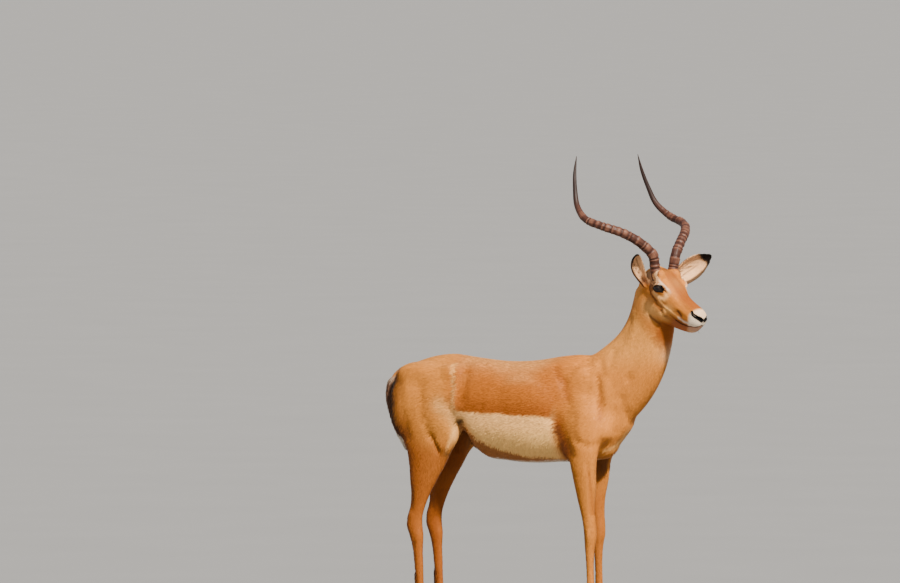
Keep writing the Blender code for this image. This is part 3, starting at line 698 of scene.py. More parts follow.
def inside_ear(points, normals, s):
    """1 where a surface of the ear faces into its cup, 0 on the back of the ear."""
    share = np.clip(ear_places(points, s)[0], 0, 1)
    inwards = ear_sections(share, s)[2] - points
    return step((unit(inwards) * normals).sum(axis=1), -0.05, 0.25)


def tail_gap(points):
    return to_line(points, [(x, 0, z) for x, z, *_ in TAIL_LINE])[0]


def on_tail(points):
    return step(tail_gap(points), 0.034, 0.022) * step(points[:, 2], 0.790, 0.770)


# %% [markdown]
# The weights keep the smoothing strong on trunk and nape, and weak on legs, head, ears, tail and
# the fold of the flank. Blender takes them from a vertex group.

# %% Smooth the skin, much on the trunk and little on the slim parts
FLANK_FOLD = (-0.100, 0.620)


def painted(obj, name, weights):
    """A vertex group with these weights, rounded to hundredths so that it fills quickly."""
    group = obj.vertex_groups.new(name=name)
    rounded = np.round(weights * 100).astype(int)
    for value in np.unique(rounded):
        group.add(np.nonzero(rounded == value)[0].tolist(), value / 100, "REPLACE")


places = read_points(skin.data)
high = np.clip((places[:, 2] - 0.46) / 0.10, 0, 1)
off_head = np.clip((np.linalg.norm(places - np.array(BROW), axis=1) - 0.12) / 0.10, 0, 1)
off_fold = np.clip((np.linalg.norm(places[:, ::2] - FLANK_FOLD, axis=1) - 0.03) / 0.05, 0, 1)
soft = (0.08 + 0.92 * high) * (0.10 + 0.90 * off_head) * (0.25 + 0.75 * off_fold)
nape = blob(places, (0.492, -0.030, 1.080), (0.055, 0.080, 0.050))
soft = np.maximum(soft, nape)
soft = soft * (1 - 0.97 * on_ears(places)) * (1 - 0.85 * on_tail(places))
painted(skin, "soft", soft)
soften = skin.modifiers.new("soften", "SMOOTH")
soften.factor, soften.vertex_group = 0.5, "soft"
passes = round(TRUNK_BLUR**2 / (SKIN_VOXEL**2 * soften.factor / 2))
soften.iterations = passes
applied(skin)
print("smoothed the skin in", passes, "passes")

# %% [markdown]
# Even little squares are wasteful on a flank and only just enough for an eyelid. A decimation
# whose cost is mostly the length of an edge thins the trunk to about twice the spacing of the
# head, and the face is then divided again around eyes, nostrils and lips.

# %% Thin the skin where it is plain
SKIN_TRIANGLES = 138_000

places = read_points(skin.data)
fine = np.maximum(on_head(places), on_ears(places))
legs = step(places[:, 2], 0.50, 0.42)
painted(skin, "plain", 0.60 - 0.40 * fine - 0.15 * legs)
thin = skin.modifiers.new("thin", "DECIMATE")
thin.ratio = SKIN_TRIANGLES / (2 * len(skin.data.polygons))
thin.vertex_group, thin.vertex_group_factor = "plain", 2.0
applied(skin)
skin.vertex_groups.clear()
print("thinned skin:", len(skin.data.polygons), "faces")

# %% [markdown]
# The coat stands outside the skin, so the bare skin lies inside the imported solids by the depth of
# the coat: nearly two millimetres on trunk and neck, one on face and legs, and less on the ears.

# %% Draw the skin in by the depth of the coat
face_out(skin)
places = read_points(skin.data)
short_haired = np.maximum(step(places[:, 2], 0.55, 0.45), on_head(places))
short_haired = np.maximum(short_haired, on_ears(places))
depth = 0.0018 - 0.0009 * short_haired - 0.0006 * on_ears(places)
write_points(skin.data, places - read_normals(skin.data) * depth[:, None])
print("coat depth from", depth.min().round(4), "to", depth.max().round(4))

# %% [markdown]
# ## The eye's own frame
#
# An antelope's eyes look sideways and a little forwards. The opening between the lids is an
# almond, longer at the front corner, where it runs down into the tear duct. It is written as two
# arcs over the ball, in angles from the way the eye looks: `across` towards the front corner and
# `above` towards the brow. Distances to that outline then steer lids, folds, lashes and colour.

# %% Eye frame and lid outline
EYE_R = SOCKET_R - 0.0013  # the ball itself lies inside the lids
EYE_CENTRE = np.array(EYE_AT)
EYE_LOOK = np.array([0.40, 0.90, 0.06])
EYE_LOOK /= np.linalg.norm(EYE_LOOK)
EYE_FRONT = np.array([1.0, 0.0, 0.34])
EYE_FRONT -= EYE_LOOK * EYE_FRONT.dot(EYE_LOOK)
EYE_FRONT /= np.linalg.norm(EYE_FRONT)
EYE_TOP = np.cross(EYE_FRONT, EYE_LOOK)
EYE_TOP *= np.sign(EYE_TOP[2])
FRONT_CORNER, BACK_CORNER = 1.10, -1.08  # radians from the middle of the opening
UPPER_LID, LOWER_LID = 0.66, -0.50


def lid_heights(across):
    """Heights of the upper and the lower lid's edge above the line between the corners."""
    end = np.where(across > 0, FRONT_CORNER, BACK_CORNER)
    part = np.clip(across / end, 0, 1)
    droop = -0.16 * np.where(across > 0, part**2, 0)
    upper = droop + UPPER_LID * np.clip(1 - part**1.9, 0, 1) ** 0.85
    lower = droop + LOWER_LID * np.clip(1 - part**2.0, 0, 1) ** 0.9
    return upper, lower


def eye_places(local):
    """Head's frame to the eye's: angles across and above, and distance from the centre."""
    off = local - EYE_CENTRE
    radius = np.linalg.norm(off, axis=1)
    unit = off / radius[:, None]
    facing = np.maximum(1 + unit @ EYE_LOOK, 0.05)
    return 2 * (unit @ EYE_FRONT) / facing, 2 * (unit @ EYE_TOP) / facing, radius


lid_angles = np.linspace(BACK_CORNER, FRONT_CORNER, 60)
upper_edge, lower_edge = lid_heights(lid_angles)
LID_OUTLINE = np.concatenate(
    [
        np.stack([lid_angles, upper_edge], axis=1),
        np.stack([lid_angles, lower_edge], axis=1)[-2:0:-1],
    ]
)


def lid_gap(local):
    """Distance in metres outside the lids' edge; it is negative in the opening."""
    across, above, radius = eye_places(local)
    gap, _ = to_line(np.stack([across, above], axis=1), LID_OUTLINE)
    upper, lower = lid_heights(across)
    inside = (above < upper) & (above > lower) & (across < FRONT_CORNER) & (across > BACK_CORNER)
    return np.where(inside, -gap, gap) * EYE_R, radius


def beside_eye(local, radius):
    """Where skin belongs to an eyeball: close to it, and on the side of the head."""
    return (radius < EYE_R + 0.008) & (local[:, 1] > 0.028)


print("eyeball radius", round(EYE_R, 4), "opening points", len(LID_OUTLINE))

# %% [markdown]
# The nostril, the mouth, the tear line and the groove of the nose are lines of points in the
# head's frame, given on the left and used on both sides. Where these fine features come, the
# mesh is divided until its edges are short enough to show them.

# %% Lines of the face
NOSTRIL = [(0.1295, 0.0257, 0.008), (0.138, 0.0265, 0.0034), (0.1472, 0.025, 0.003)]
NOSTRIL += [(0.1545, 0.021, 0.0025), (0.160, 0.0142, 0.001), (0.1634, 0.0064, -0.003)]
MOUTH = [(0.1665, 0.0, -0.0205), (0.165, 0.0033, -0.0214), (0.1612, 0.013, -0.0276)]
MOUTH += [(0.146, 0.0199, -0.0351), (0.1235, 0.018, -0.0457), (0.102, 0.018, -0.0516)]
MOUTH += [(0.0804, 0.0202, -0.0522)]
TEAR_LINE = [(0.015, 0.046, 0.016), (0.0215, 0.042, 0.0125), (0.029, 0.0385, 0.008)]
PHILTRUM = [(0.1675, 0.0, -0.004), (0.1665, 0.0, -0.0195)]
FACE_MIDDLE, FACE_REACH = (0.06, 0, 0), 0.17
FINE_LINES = [  # line, how near to it, and the longest edge wanted there
    (NOSTRIL, 0.0062, 0.0008),
    (MOUTH, 0.0045, 0.001),
    (TEAR_LINE, 0.004, 0.001),
]


def bare_nostril(local):
    """1 on the black skin round the nostril, which is broader towards the front."""
    gap, way = to_line(local, NOSTRIL)
    edge = 0.004 + 0.0034 * way
    return step(gap, edge + 0.0012, edge)


def edge_limit(points):
    """Longest edge wanted at each place of the face; large where the mesh will do as it is."""
    local = head_places(points)
    limit = np.full(len(points), 1.0)
    near_eye = np.linalg.norm(local - EYE_CENTRE, axis=1)
    limit = np.where(near_eye < 0.034, 0.0017, limit)
    gap, radius = lid_gap(local)
    on_ball = (radius < EYE_R + 0.006) & (local[:, 1] > 0.03)
    limit = np.where(on_ball & (np.abs(gap) < 0.006), 0.0011, limit)
    limit = np.where(on_ball & (np.abs(gap) < 0.0022), 0.00055, limit)
    for line, near, length in FINE_LINES:
        limit = np.where(to_line(local, line)[0] < near, length, limit)
    return limit


# %% Divide the face where lids, nostrils and lips need it
def refine(obj, rounds):
    for _ in range(rounds):
        work = bmesh.new()
        work.from_mesh(obj.data)
        bmesh.ops.triangulate(work, faces=work.faces)
        work.edges.ensure_lookup_table()
        places = np.array([v.co for v in work.verts])
        ends = np.array([(e.verts[0].index, e.verts[1].index) for e in work.edges])
        lengths = np.linalg.norm(places[ends[:, 0]] - places[ends[:, 1]], axis=1)
        near = (places[ends[:, 0]] + places[ends[:, 1]]) / 2
        face = np.linalg.norm(near - np.array(in_head(*FACE_MIDDLE)), axis=1) < FACE_REACH
        limit = np.full(len(near), 1.0)
        limit[face] = edge_limit(near[face])
        long = np.nonzero(lengths > limit)[0]
        edges = [work.edges[i] for i in long]
        bmesh.ops.subdivide_edges(work, edges=edges, cuts=1)
        bmesh.ops.triangulate(work, faces=[f for f in work.faces if len(f.verts) > 3])
        work.to_mesh(obj.data)
        work.free()
        print("divided", len(long), "edges;", len(obj.data.polygons), "triangles")


refine(skin, 3)

# %% [markdown]
# ## Carving
#
# With the mesh fine where it matters, anatomy is carved by moving points along their normals.
# One helper does most of it: it raises or lowers a soft-edged strip along a line of points. On
# the body these are the spine of the shoulder blade, the grooves between muscles, the jugular
# furrow and the tendons of the leg. On the face they are brow, socket, cheek, nasal bones and lips.

# %% Carve the body
def strip(points, line, width):
    """1 on the line, fading to nothing about two widths away."""
    return hump(to_line(points, line)[0], 0, width)


SIDE_LINES = [  # height in metres, width, line of x and z along the flank
    (0.0026, 0.013, [(0.352, 0.830), (0.356, 0.782), (0.360, 0.734)]),
    (0.003, 0.014, [(0.391, 0.795), (0.398, 0.735), (0.401, 0.675)]),
    (-0.003, 0.011, [(0.368, 0.800), (0.376, 0.740), (0.380, 0.680)]),
    (-0.003, 0.013, [(0.225, 0.822), (0.243, 0.798), (0.262, 0.780)]),
    (-0.0036, 0.015, [(0.262, 0.780), (0.280, 0.733), (0.276, 0.690)]),
    (-0.0085, 0.024, [(0.250, 0.664), (0.262, 0.613), (0.284, 0.562)]),
    (-0.0036, 0.010, [(0.312, 0.604), (0.340, 0.590), (0.364, 0.588), (0.384, 0.604)]),
    (0.004, 0.018, [(0.330, 0.690), (0.320, 0.640)]),
    (-0.0032, 0.012, [(0.448, 0.736), (0.450, 0.676), (0.420, 0.634)]),
    (-0.0026, 0.011, [(0.415, 0.879), (0.409, 0.837)]),
    (-0.0026, 0.011, [(0.372, 0.850), (0.389, 0.805)]),
    (-0.003, 0.014, [(-0.225, 0.760), (-0.220, 0.670), (-0.192, 0.606)]),
    (-0.006, 0.008, [(-0.188, 0.604), (-0.168, 0.560)]),
    (-0.003, 0.014, [(-0.300, 0.760), (-0.290, 0.690), (-0.270, 0.600)]),
    (0.004, 0.010, [(-0.106, 0.826), (-0.104, 0.690)]),
    (-0.004, 0.016, [(-0.074, 0.800), (-0.076, 0.720)]),
    (0.0045, 0.016, [(-0.140, 0.689), (-0.104, 0.660)]),
    (-0.006, 0.010, [(-0.092, 0.650), (-0.066, 0.616), (-0.024, 0.584)]),
    (0.0016, 0.014, [(0.040, 0.800), (0.012, 0.720)]),
    (-0.0024, 0.007, [(0.345, 0.535), (0.350, 0.459), (0.352, 0.376)]),
    (-0.0026, 0.009, [(-0.262, 0.440), (-0.262, 0.372)]),
    (0.0016, 0.006, [(-0.284, 0.420), (-0.285, 0.345)]),
]
LEG_LINES = [  # height, width, line of x, y and z on the left side
    (-0.0018, 0.0045, [(0.331, 0.084, 0.268), (0.331, 0.081, 0.120)]),
    (-0.0018, 0.0045, [(0.301, 0.084, 0.268), (0.301, 0.081, 0.120)]),
    (0.002, 0.007, [(0.340, 0.083, 0.318), (0.338, 0.083, 0.292)]),
    (-0.0018, 0.0045, [(-0.255, 0.092, 0.270), (-0.247, 0.091, 0.120)]),
    (0.0018, 0.006, [(-0.240, 0.094, 0.300), (-0.244, 0.094, 0.280)]),
    (0.0014, 0.006, [(0.340, 0.085, 0.088), (0.336, 0.082, 0.083)]),
    (0.0014, 0.006, [(-0.235, 0.094, 0.084), (-0.237, 0.094, 0.079)]),
]
NECK_LINES = [
    (-0.0036, 0.011, [(0.552, 0.040, 0.985), (0.520, 0.050, 0.900), (0.470, 0.062, 0.800)]),
    (-0.003, 0.012, [(0.470, 0.062, 0.800), (0.430, 0.068, 0.735)]),
    (0.0022, 0.013, [(0.500, 0.054, 0.960), (0.430, 0.070, 0.860), (0.390, 0.076, 0.790)]),
    (-0.0024, 0.012, [(0.470, 0.050, 0.980), (0.400, 0.068, 0.880), (0.340, 0.070, 0.820)]),
]


def side_strip(points, line, width):
    """Like strip, but seen straight from the side, so it needs no width of body."""
    flat = points[:, ::2]
    return strip(flat, line, width) * step(np.abs(points[:, 1]), 0.020, 0.045)


places = read_points(skin.data)
normals = read_normals(skin.data)
both_sides = folded(places)
body_only = 1 - step(on_head(places), 0.0, 0.6)
rise = np.zeros(len(places))
for height, width, line in SIDE_LINES:
    rise += height * side_strip(both_sides, line, width) * body_only
for height, width, line in LEG_LINES + NECK_LINES:
    rise += height * strip(both_sides, line, width) * body_only
RIBS = 9
for k in range(RIBS):
    top = 0.232 - 0.029 * k
    rib = [(top, 0.098, 0.760), (top - 0.022, 0.120, 0.690), (top - 0.006, 0.118, 0.610)]
    rise += 0.0006 * strip(both_sides, rib, 0.0075) * step(places[:, 0], 0.24, 0.16)
write_points(skin.data, places + normals * rise[:, None])
print("carved the body from", rise.min().round(4), "to", rise.max().round(4))

# %% Carve the face
CHEEK_RIDGE = [(0.010, 0.045, -0.022), (0.032, 0.042, -0.030), (0.052, 0.0356, -0.033)]
CHEEK_RIDGE += [(0.071, 0.0295, -0.0355), (0.0935, 0.027, -0.0366)]
TEMPLE_CREASE = [(-0.049, 0.048, 0.003), (-0.043, 0.049, -0.015), (-0.030, 0.0475, -0.022)]
TEMPLE_CREASE += [(-0.015, 0.048, -0.027), (0.0015, 0.047, -0.031)]
BROW_LINE = [(-0.034, 0.053, 0.038), (-0.0145, 0.054, 0.032), (0.003, 0.0536, 0.030)]
BROW_LINE += [(0.014, 0.0457, 0.0256), (0.027, 0.038, 0.0186), (0.039, 0.0352, 0.0125)]
FACE_LINES = [
    (0.0018, 0.005, BROW_LINE[:5]),
    (-0.0016, 0.005, [(0.022, 0.041, 0.010), (0.036, 0.037, 0.000)]),
    (-0.001, 0.0045, [(0.014, 0.046, -0.004), (-0.008, 0.050, -0.007), (-0.028, 0.050, 0.0)]),
    (0.0014, 0.006, [(-0.014, 0.051, -0.016), (0.010, 0.048, -0.017), (0.026, 0.045, -0.014)]),
    (-0.0026, 0.0036, TEMPLE_CREASE),
    (-0.0016, 0.007, [(0.004, 0.045, -0.040), (0.027, 0.0435, -0.044), (0.035, 0.040, -0.054)]),
    (-0.0022, 0.004, [(0.031, 0.041, -0.050), (0.046, 0.027, -0.061), (0.058, 0.024, -0.062)]),
    (-0.0018, 0.004, [(-0.007, 0.037, -0.091), (0.016, 0.030, -0.093), (0.030, 0.021, -0.098)]),
    (0.0022, 0.0042, CHEEK_RIDGE),
    (-0.0024, 0.005, [(0.086, 0.032, -0.020), (0.098, 0.030, -0.024)]),
    (0.001, 0.006, [(0.040, 0.011, 0.028), (0.090, 0.009, 0.014), (0.125, 0.008, 0.010)]),
    (-0.0014, 0.005, [(0.050, 0.026, 0.014), (0.090, 0.024, 0.004), (0.118, 0.023, 0.004)]),
    (0.001, 0.006, [(0.070, 0.034, -0.012), (0.104, 0.030, -0.010), (0.122, 0.028, -0.012)]),
    (0.001, 0.0034, [(0.162, 0.010, -0.014), (0.142, 0.0235, -0.025), (0.112, 0.023, -0.040)]),
    (0.0008, 0.003, [(0.155, 0.012, -0.037), (0.142, 0.017, -0.043), (0.115, 0.016, -0.055)]),
    (-0.0012, 0.003, [(0.126, 0.027, -0.006), (0.133, 0.027, -0.018), (0.132, 0.024, -0.03)]),
    (-0.0006, 0.0012, PHILTRUM),
    (-0.0009, 0.0017, TEAR_LINE),
]
places = read_points(skin.data)
normals = read_normals(skin.data)
local = head_places(places)
face = on_head(places) * (1 - on_ears(places))
rise = np.zeros(len(places))
for height, width, line in FACE_LINES:
    rise += height * strip(local, line, width)
rise -= 0.0019 * strip(local, MOUTH, 0.0011)
nostril_gap, nostril_way = to_line(local, NOSTRIL)
slit = np.exp(-((nostril_gap / (0.0023 + 0.0009 * nostril_way)) ** 4))
rise -= 0.0058 * slit * step(nostril_way, -0.05, 0.25)
rise += 0.0009 * hump(nostril_gap, 0.0044, 0.0018)
write_points(skin.data, places + normals * (rise * face)[:, None])

print("carved the face from", rise.min().round(4), "to", rise.max().round(4))

# %% [markdown]
# The lids come last. Outside the almond the skin rolls over its edge and lies on the ball; inside
# it the skin drops behind the ball and out of sight. One shallow fold runs round each lid.

# %% Roll the lids over the eyeballs
LID_THICK, LID_ROLL, LID_FOLD = 0.0013, 0.0005, 0.0007

places = read_points(skin.data)
local = head_places(places)
gap, radius = lid_gap(local)
about_eye = beside_eye(local, radius) & (on_head(places) > 0.5)
across, above, _ = eye_places(local)
thick = LID_THICK + LID_ROLL * hump(gap, 0.0014, 0.0009)
crease = np.where(above > 0, 0.0042, 0.0036)
fold = LID_FOLD * (hump(gap, crease + 0.0024, 0.0013) - hump(gap, crease, 0.0009))
rolled = EYE_R + 0.0001 + thick * step(gap, -0.0001, 0.001)
behind = EYE_R - 0.0022 * step(-gap, -0.0001, 0.0012)
on_lid = np.where(gap > 0, rolled, behind)
blend = step(gap, 0.0065, 0.0022)
wanted = blend * on_lid + (1 - blend) * radius + fold
scale = np.where(about_eye, wanted / radius, 1.0)
centre = np.array([in_head(EYE_AT.x, EYE_AT.y * s, EYE_AT.z) for s in (1, -1)])
own_side = np.where(in_head_frame(places)[:, 1:2] > 0, *centre)
write_points(skin.data, own_side + (places - own_side) * scale[:, None])
print("lid points:", int(about_eye.sum()), "in the opening:", int((about_eye & (gap < 0)).sum()))

# %% [markdown]
# ## Markings
#
# An impala is three colours in layers: a rufous saddle, a paler tan band that begins at a sharp
# line along the flank, and a white belly. White also rings the eyes, the lips, the chin and the
# inside of the ears, and black draws the ear tips, the stripe down each buttock, the line on the
# tail and the tufts above the hind feet. One function gives the colour at any place, and the skin
# and every tuft of hair both ask it, so that they always agree.
# The same function also paints shade into hollows, creases and shaded sides, and a few highlights.

# %% Colours of the coat
def paint(red, green, blue):
    """A colour as seen on a screen, 0 to 255, as the linear values that shading needs."""
    values = np.array([red, green, blue]) / 255
    return np.where(values <= 0.04045, values / 12.92, ((values + 0.055) / 1.055) ** 2.4)


SADDLE = paint(164, 90, 26)
SADDLE_DARK = paint(132, 66, 18)
SHOULDER_TAN = paint(202, 124, 48)
TAN = paint(240, 180, 108)
LEG_TAN = paint(186, 114, 42)
HAUNCH_TAN = paint(200, 130, 52)
NECK_TAN = paint(226, 150, 68)
PALE_TAN = paint(255, 192, 112)
WHITE = paint(240, 224, 200)
INNER_BROWN = paint(100, 56, 26)
LIP_BROWN = paint(170, 98, 58)
FACE_BROWN = paint(148, 78, 24)
FACE_TAN = paint(190, 114, 42)
DARK_BROWN = paint(84, 44, 20)
BLACK = paint(26, 20, 17)
EAR_CREAM = paint(246, 190, 138)
BARE_BLACK = paint(13, 10, 9)
DARKEST, PALEST = 0.002, 0.95  # no hair is blacker or whiter than this


def wander(points, size, seed=0.0):
    """A smooth value from -1 to 1 that changes over distances of about `size`."""
    x, y, z = (points / size).T
    waves = np.sin(1.3 * x + 2.1 * np.sin(0.7 * y + seed) + seed)
    waves = waves + np.sin(1.7 * y + 1.9 * np.sin(0.8 * z + seed) - seed)
    waves = waves + np.sin(1.5 * z + 2.3 * np.sin(0.9 * x - seed))
    return waves / 3


# %% [markdown]
# A mark is laid on a colour with a share from 0 to 1, and most marks are soft spots or soft-edged
# strips. So each region has a table of its marks, and a short function for what needs more than
# that. Marks later in a table lie on top.

# %% Laying marks on a colour
def layered(base, *layers):
    """Lays colours or directions over a base, one after the other, each with its own share."""
    for layer, share in layers:
        base = base + (layer - base) * np.clip(share, 0, 1)[:, None]
    return base


def marked(colour, points, marks):
    """Lays on marks: a colour, a share, then spots (centre, radii) or strips (line, width)."""
    for tint, share, *parts in marks:
        shown = [(strip if np.isscalar(size) else blob)(points, at, size) for at, size in parts]
        colour = layered(colour, (tint, share * np.minimum(sum(shown), 1)))
    return colour


def side_marked(colour, points, marks, where=1.0):
    """Lays on strips seen from the side: colour, share, width, and a line of x and z."""
    for tint, share, width, line in marks:
        colour = layered(colour, (tint, share * where * side_strip(points, line, width)))
    return colour


# %% Saddle, band and shoulder
# Where the saddle ends, as a line of x and z.
SADDLE_EDGE = [(-0.34, 0.560), (-0.24, 0.590), (-0.15, 0.660), (-0.10, 0.685), (0.056, 0.681)]
SADDLE_EDGE += [(0.207, 0.676), (0.235, 0.672), (0.27, 0.690), (0.33, 0.760), (0.40, 0.840)]
PALE_MARKS = [
    # streak: partly where the hair parts, partly a painted highlight
    (PALE_TAN, 0.45, 0.006, [(-0.127, 0.826), (-0.110, 0.751), (-0.109, 0.679)]),  # streak
    # stifle: a painted highlight on the bulge of the stifle
    (TAN, 0.45, 0.024, [(-0.160, 0.705), (-0.104, 0.662)]),  # stifle
    (PALE_TAN, 0.65, 0.0048, [(-0.096, 0.655), (-0.122, 0.600), (-0.148, 0.548)]),  # thigh
]


def ragged(points):
    """A few millimetres up or down, so that no edge of the coat is a ruled line."""
    return 0.0025 * wander(points, 0.022) + 0.001 * wander(points, 0.006, 2.0)


def line_height(x, line):
    """The height of a line of x and z at each x."""
    knots, heights = zip(*line)
    return np.interp(x, knots, heights)


def layer_colour(points, normals):
    """The three layers of the side, the shoulder, which turns to the neck's tan, and painted
    highlights.
    """
    x, _, z = points.T
    over = z - line_height(x, SADDLE_EDGE) + ragged(points)
    flank = step(x, -0.115, -0.100) * step(x, 0.245, 0.215)
    soft = 0.0045 + 0.060 * (1 - flank)
    # Painted highlight: paler tan where the top of the back faces up, standing in for the sun's
    # sheen.
    sheen = step(normals[:, 2] + 0.12 * wander(points, 0.05), 0.38, 1.02) * step(x, 0.30, 0.16)
    colour = layered(
        PALE_TAN,
        (TAN, step(z, 0.60, 0.68)),
        (HAUNCH_TAN, step(x, -0.095, -0.130)),
        (LEG_TAN, step(x, 0.225, 0.250)),
        (SADDLE, step(over, -soft, soft) * (1 - 0.55 * step(x, -0.10, -0.16))),
        (TAN, (0.10 + 0.24 * step(x, -0.14, -0.08)) * sheen),
        (SADDLE_DARK, 0.65 * flank * step(over, 0, 0.006) * step(over, 0.07, 0.0)),
    )
    front = step(x + 0.35 * (z - 0.75), 0.22, 0.36)
    return layered(side_marked(colour, points, PALE_MARKS), (SHOULDER_TAN, 0.90 * front))


# %% Painted shade in the hollows and round the rim of the belly
# Painted shadow cast by the elbow onto the ribs, cut off in front by a straight edge.
ELBOW_SHADOW = [
    (SADDLE_DARK, 0.95, 0.024, [(0.246, 0.655), (0.256, 0.612), (0.268, 0.566)]),
    (DARK_BROWN, 0.85, 0.013, [(0.244, 0.640), (0.252, 0.606), (0.264, 0.566)]),
]
BEHIND_SHOULDER = [(0.227, 0.820), (0.243, 0.798), (0.262, 0.780), (0.280, 0.733)]
# Painted shade in the crease of the stifle, down the back of the thigh, behind the shoulder blade
# and in the groove at the breast.
HOLLOW_SHADE = [
    (DARK_BROWN, 0.55, 0.006, [(-0.181, 0.596), (-0.166, 0.555)]),  # crease of the stifle
    (SADDLE_DARK, 0.55, 0.040, [(-0.290, 0.620), (-0.262, 0.540), (-0.252, 0.470)]),  # thigh
    (SADDLE_DARK, 0.55, 0.010, BEHIND_SHOULDER),
    (SADDLE_DARK, 0.45, 0.007, [(0.372, 0.810), (0.378, 0.740), (0.381, 0.670)]),  # breast
]
# Painted shade: a black wedge in the fold of the flank, in front of the thigh.
FOLD_SHADE = [(BLACK, 0.85, 0.0075, [(-0.104, 0.650), (-0.084, 0.655)])]
# The lower rim of the belly, below which brown painted shade is laid.
BELLY_SHADE_LINE = [(-0.093, 0.652), (-0.069, 0.622), (-0.038, 0.602), (0.003, 0.584)]
BELLY_SHADE_LINE += [(0.046, 0.568), (0.105, 0.556), (0.136, 0.550), (0.183, 0.547), (0.250, 0.547)]


def painted_hollow_shade(points, colour):
    """Painted shade: darker behind the elbow, along creases and round the rim of the belly."""
    x, _, z = points.T
    elbow_shadow_edge = step(x + 0.19 * (0.662 - z), 0.226, 0.236)
    lowest = line_height(x, BELLY_SHADE_LINE) + ragged(points)
    rim = step(z, lowest + 0.004, lowest - 0.006) * step(x, -0.12, -0.09) * step(x, 0.27, 0.23)
    colour = side_marked(colour, points, ELBOW_SHADOW, elbow_shadow_edge)
    colour = layered(side_marked(colour, points, HOLLOW_SHADE), (SADDLE_DARK, 0.85 * rim))
    return side_marked(colour, points, FOLD_SHADE)


# %% Underside and rump
BRISKET = [
    ([(0.436, 0.0, 0.628), (0.418, 0.0, 0.602)], 0.014),
    ([(0.418, 0.0, 0.602), (0.379, 0.036, 0.572)], 0.009),
]
RUMP_SHADE = [(DARK_BROWN, 0.55, 0.020, [(-0.318, 0.775), (-0.312, 0.700), (-0.285, 0.610)])]
BUTTOCK_STRIPE = [(-0.325, 0.046, 0.800), (-0.336, 0.066, 0.740), (-0.326, 0.080, 0.660)]
BUTTOCK_STRIPE += [(-0.300, 0.084, 0.590)]


def inner_side(points, normals):
    """The part of a normal that points away from the middle; it is negative inside a leg."""
    return normals[:, 1] * np.sign(points[:, 1])


def under_colour(points, normals, colour):
    """White along the belly, brown painted shade between the legs, pale on the brisket."""
    x, y, z = folded(points).T
    belly = step(normals[:, 2], -0.90, -0.98) * step(y, 0.048, 0.030)
    belly = belly * step(z, 0.48, 0.50) * step(z, 0.66, 0.62)
    white = 0.75 * belly * (1 - 0.8 * step(x, 0.24, 0.30))
    # Painted shade: brown on the inward-facing sides of the legs, between them.
    inward = step(inner_side(points, normals), -0.15, -0.60)
    inward = inward * step(z, 0.42, 0.52) * step(z, 0.70, 0.66)
    colour = layered(colour, (WHITE, white), (INNER_BROWN, 0.85 * inward))
    return marked(colour, folded(points), [(PALE_TAN, 0.60, *BRISKET)])


def rump_colour(points, normals, colour):
    """White beside the tail, edged by a black stripe down each buttock."""
    x, y, z = folded(points).T
    white = step(-normals[:, 0], 0.25, 0.60) * step(x, -0.26, -0.30)
    white = white * step(y, 0.060, 0.050) * step(z, 0.470, 0.500) * step(z, 0.790, 0.770)
    colour = side_marked(layered(colour, (WHITE, white)), points, RUMP_SHADE)
    stripe = strip(folded(points), BUTTOCK_STRIPE, 0.0115) ** 0.8 * step(x, -0.27, -0.30)
    return layered(colour, (BLACK, 1.1 * stripe))


# %% Legs, tail and neck
# Painted shade in the groove between the muscles down the foreleg.
GROOVE_SHADE = [(SADDLE_DARK, 0.45, 0.005, [(0.345, 0.535), (0.350, 0.459), (0.352, 0.376)])]
GLAND_MARKS = [(BLACK, 1.2, ([(-0.262, 0.078, 0.165), (-0.262, 0.078, 0.105)], 0.015))]
THROAT = [(0.598, -0.030, 0.955), (0.590, -0.022, 0.920), (0.575, -0.014, 0.885)]
# Painted shade down the nape, below the near ear.
NAPE_SHADE = [(0.505, -0.020, 1.075), (0.470, -0.012, 1.020), (0.430, -0.006, 0.960)]
NECK_MARKS = [(WHITE, 0.60, (THROAT, 0.024)), (SADDLE_DARK, 0.55, (NAPE_SHADE, 0.022))]


def leg_colour(points, normals, colour):
    x, _, z = points.T
    low = step(z, 0.50, 0.40)
    # Painted shade: darker on the back of the hind legs and on the inner side of the lower legs.
    colour = layered(
        colour,
        (LEG_TAN, low),
        (SADDLE_DARK, 0.80 * step(x, -0.10, -0.15) * step(z, 0.66, 0.54)),
        (SADDLE_DARK, 0.60 * low * step(inner_side(points, normals), 0.1, -0.5)),
        (SADDLE, 0.30 * low * step(normals[:, 0], 0.2, 0.9)),
    )
    colour = side_marked(colour, points, GROOVE_SHADE, step(z, 0.54, 0.50))
    colour = marked(colour, folded(points), GLAND_MARKS)
    return layered(colour, (PALE_TAN, 0.35 * step(z, 0.064, 0.044)))


def tail_colour(points, normals, colour):
    """White hair, a black line down the middle, and brown sides above: partly tan, partly painted
    shade.
    """
    _, y, z = folded(points).T
    on = on_tail(points)
    sides = step(np.abs(normals[:, 1]), 0.30, 0.60) * step(z, 0.600, 0.650)
    line = step(y, 0.0085, 0.005) * step(-normals[:, 0], 0.1, 0.5)
    return layered(colour, (WHITE, on), (DARK_BROWN, 0.95 * on * sides), (BLACK, on * line))


def neck_colour(points, colour):
    x, _, z = points.T
    tan = step(z, 0.80, 0.90) * step(x, 0.30, 0.42)
    return marked(layered(colour, (NECK_TAN, tan)), points, NECK_MARKS)
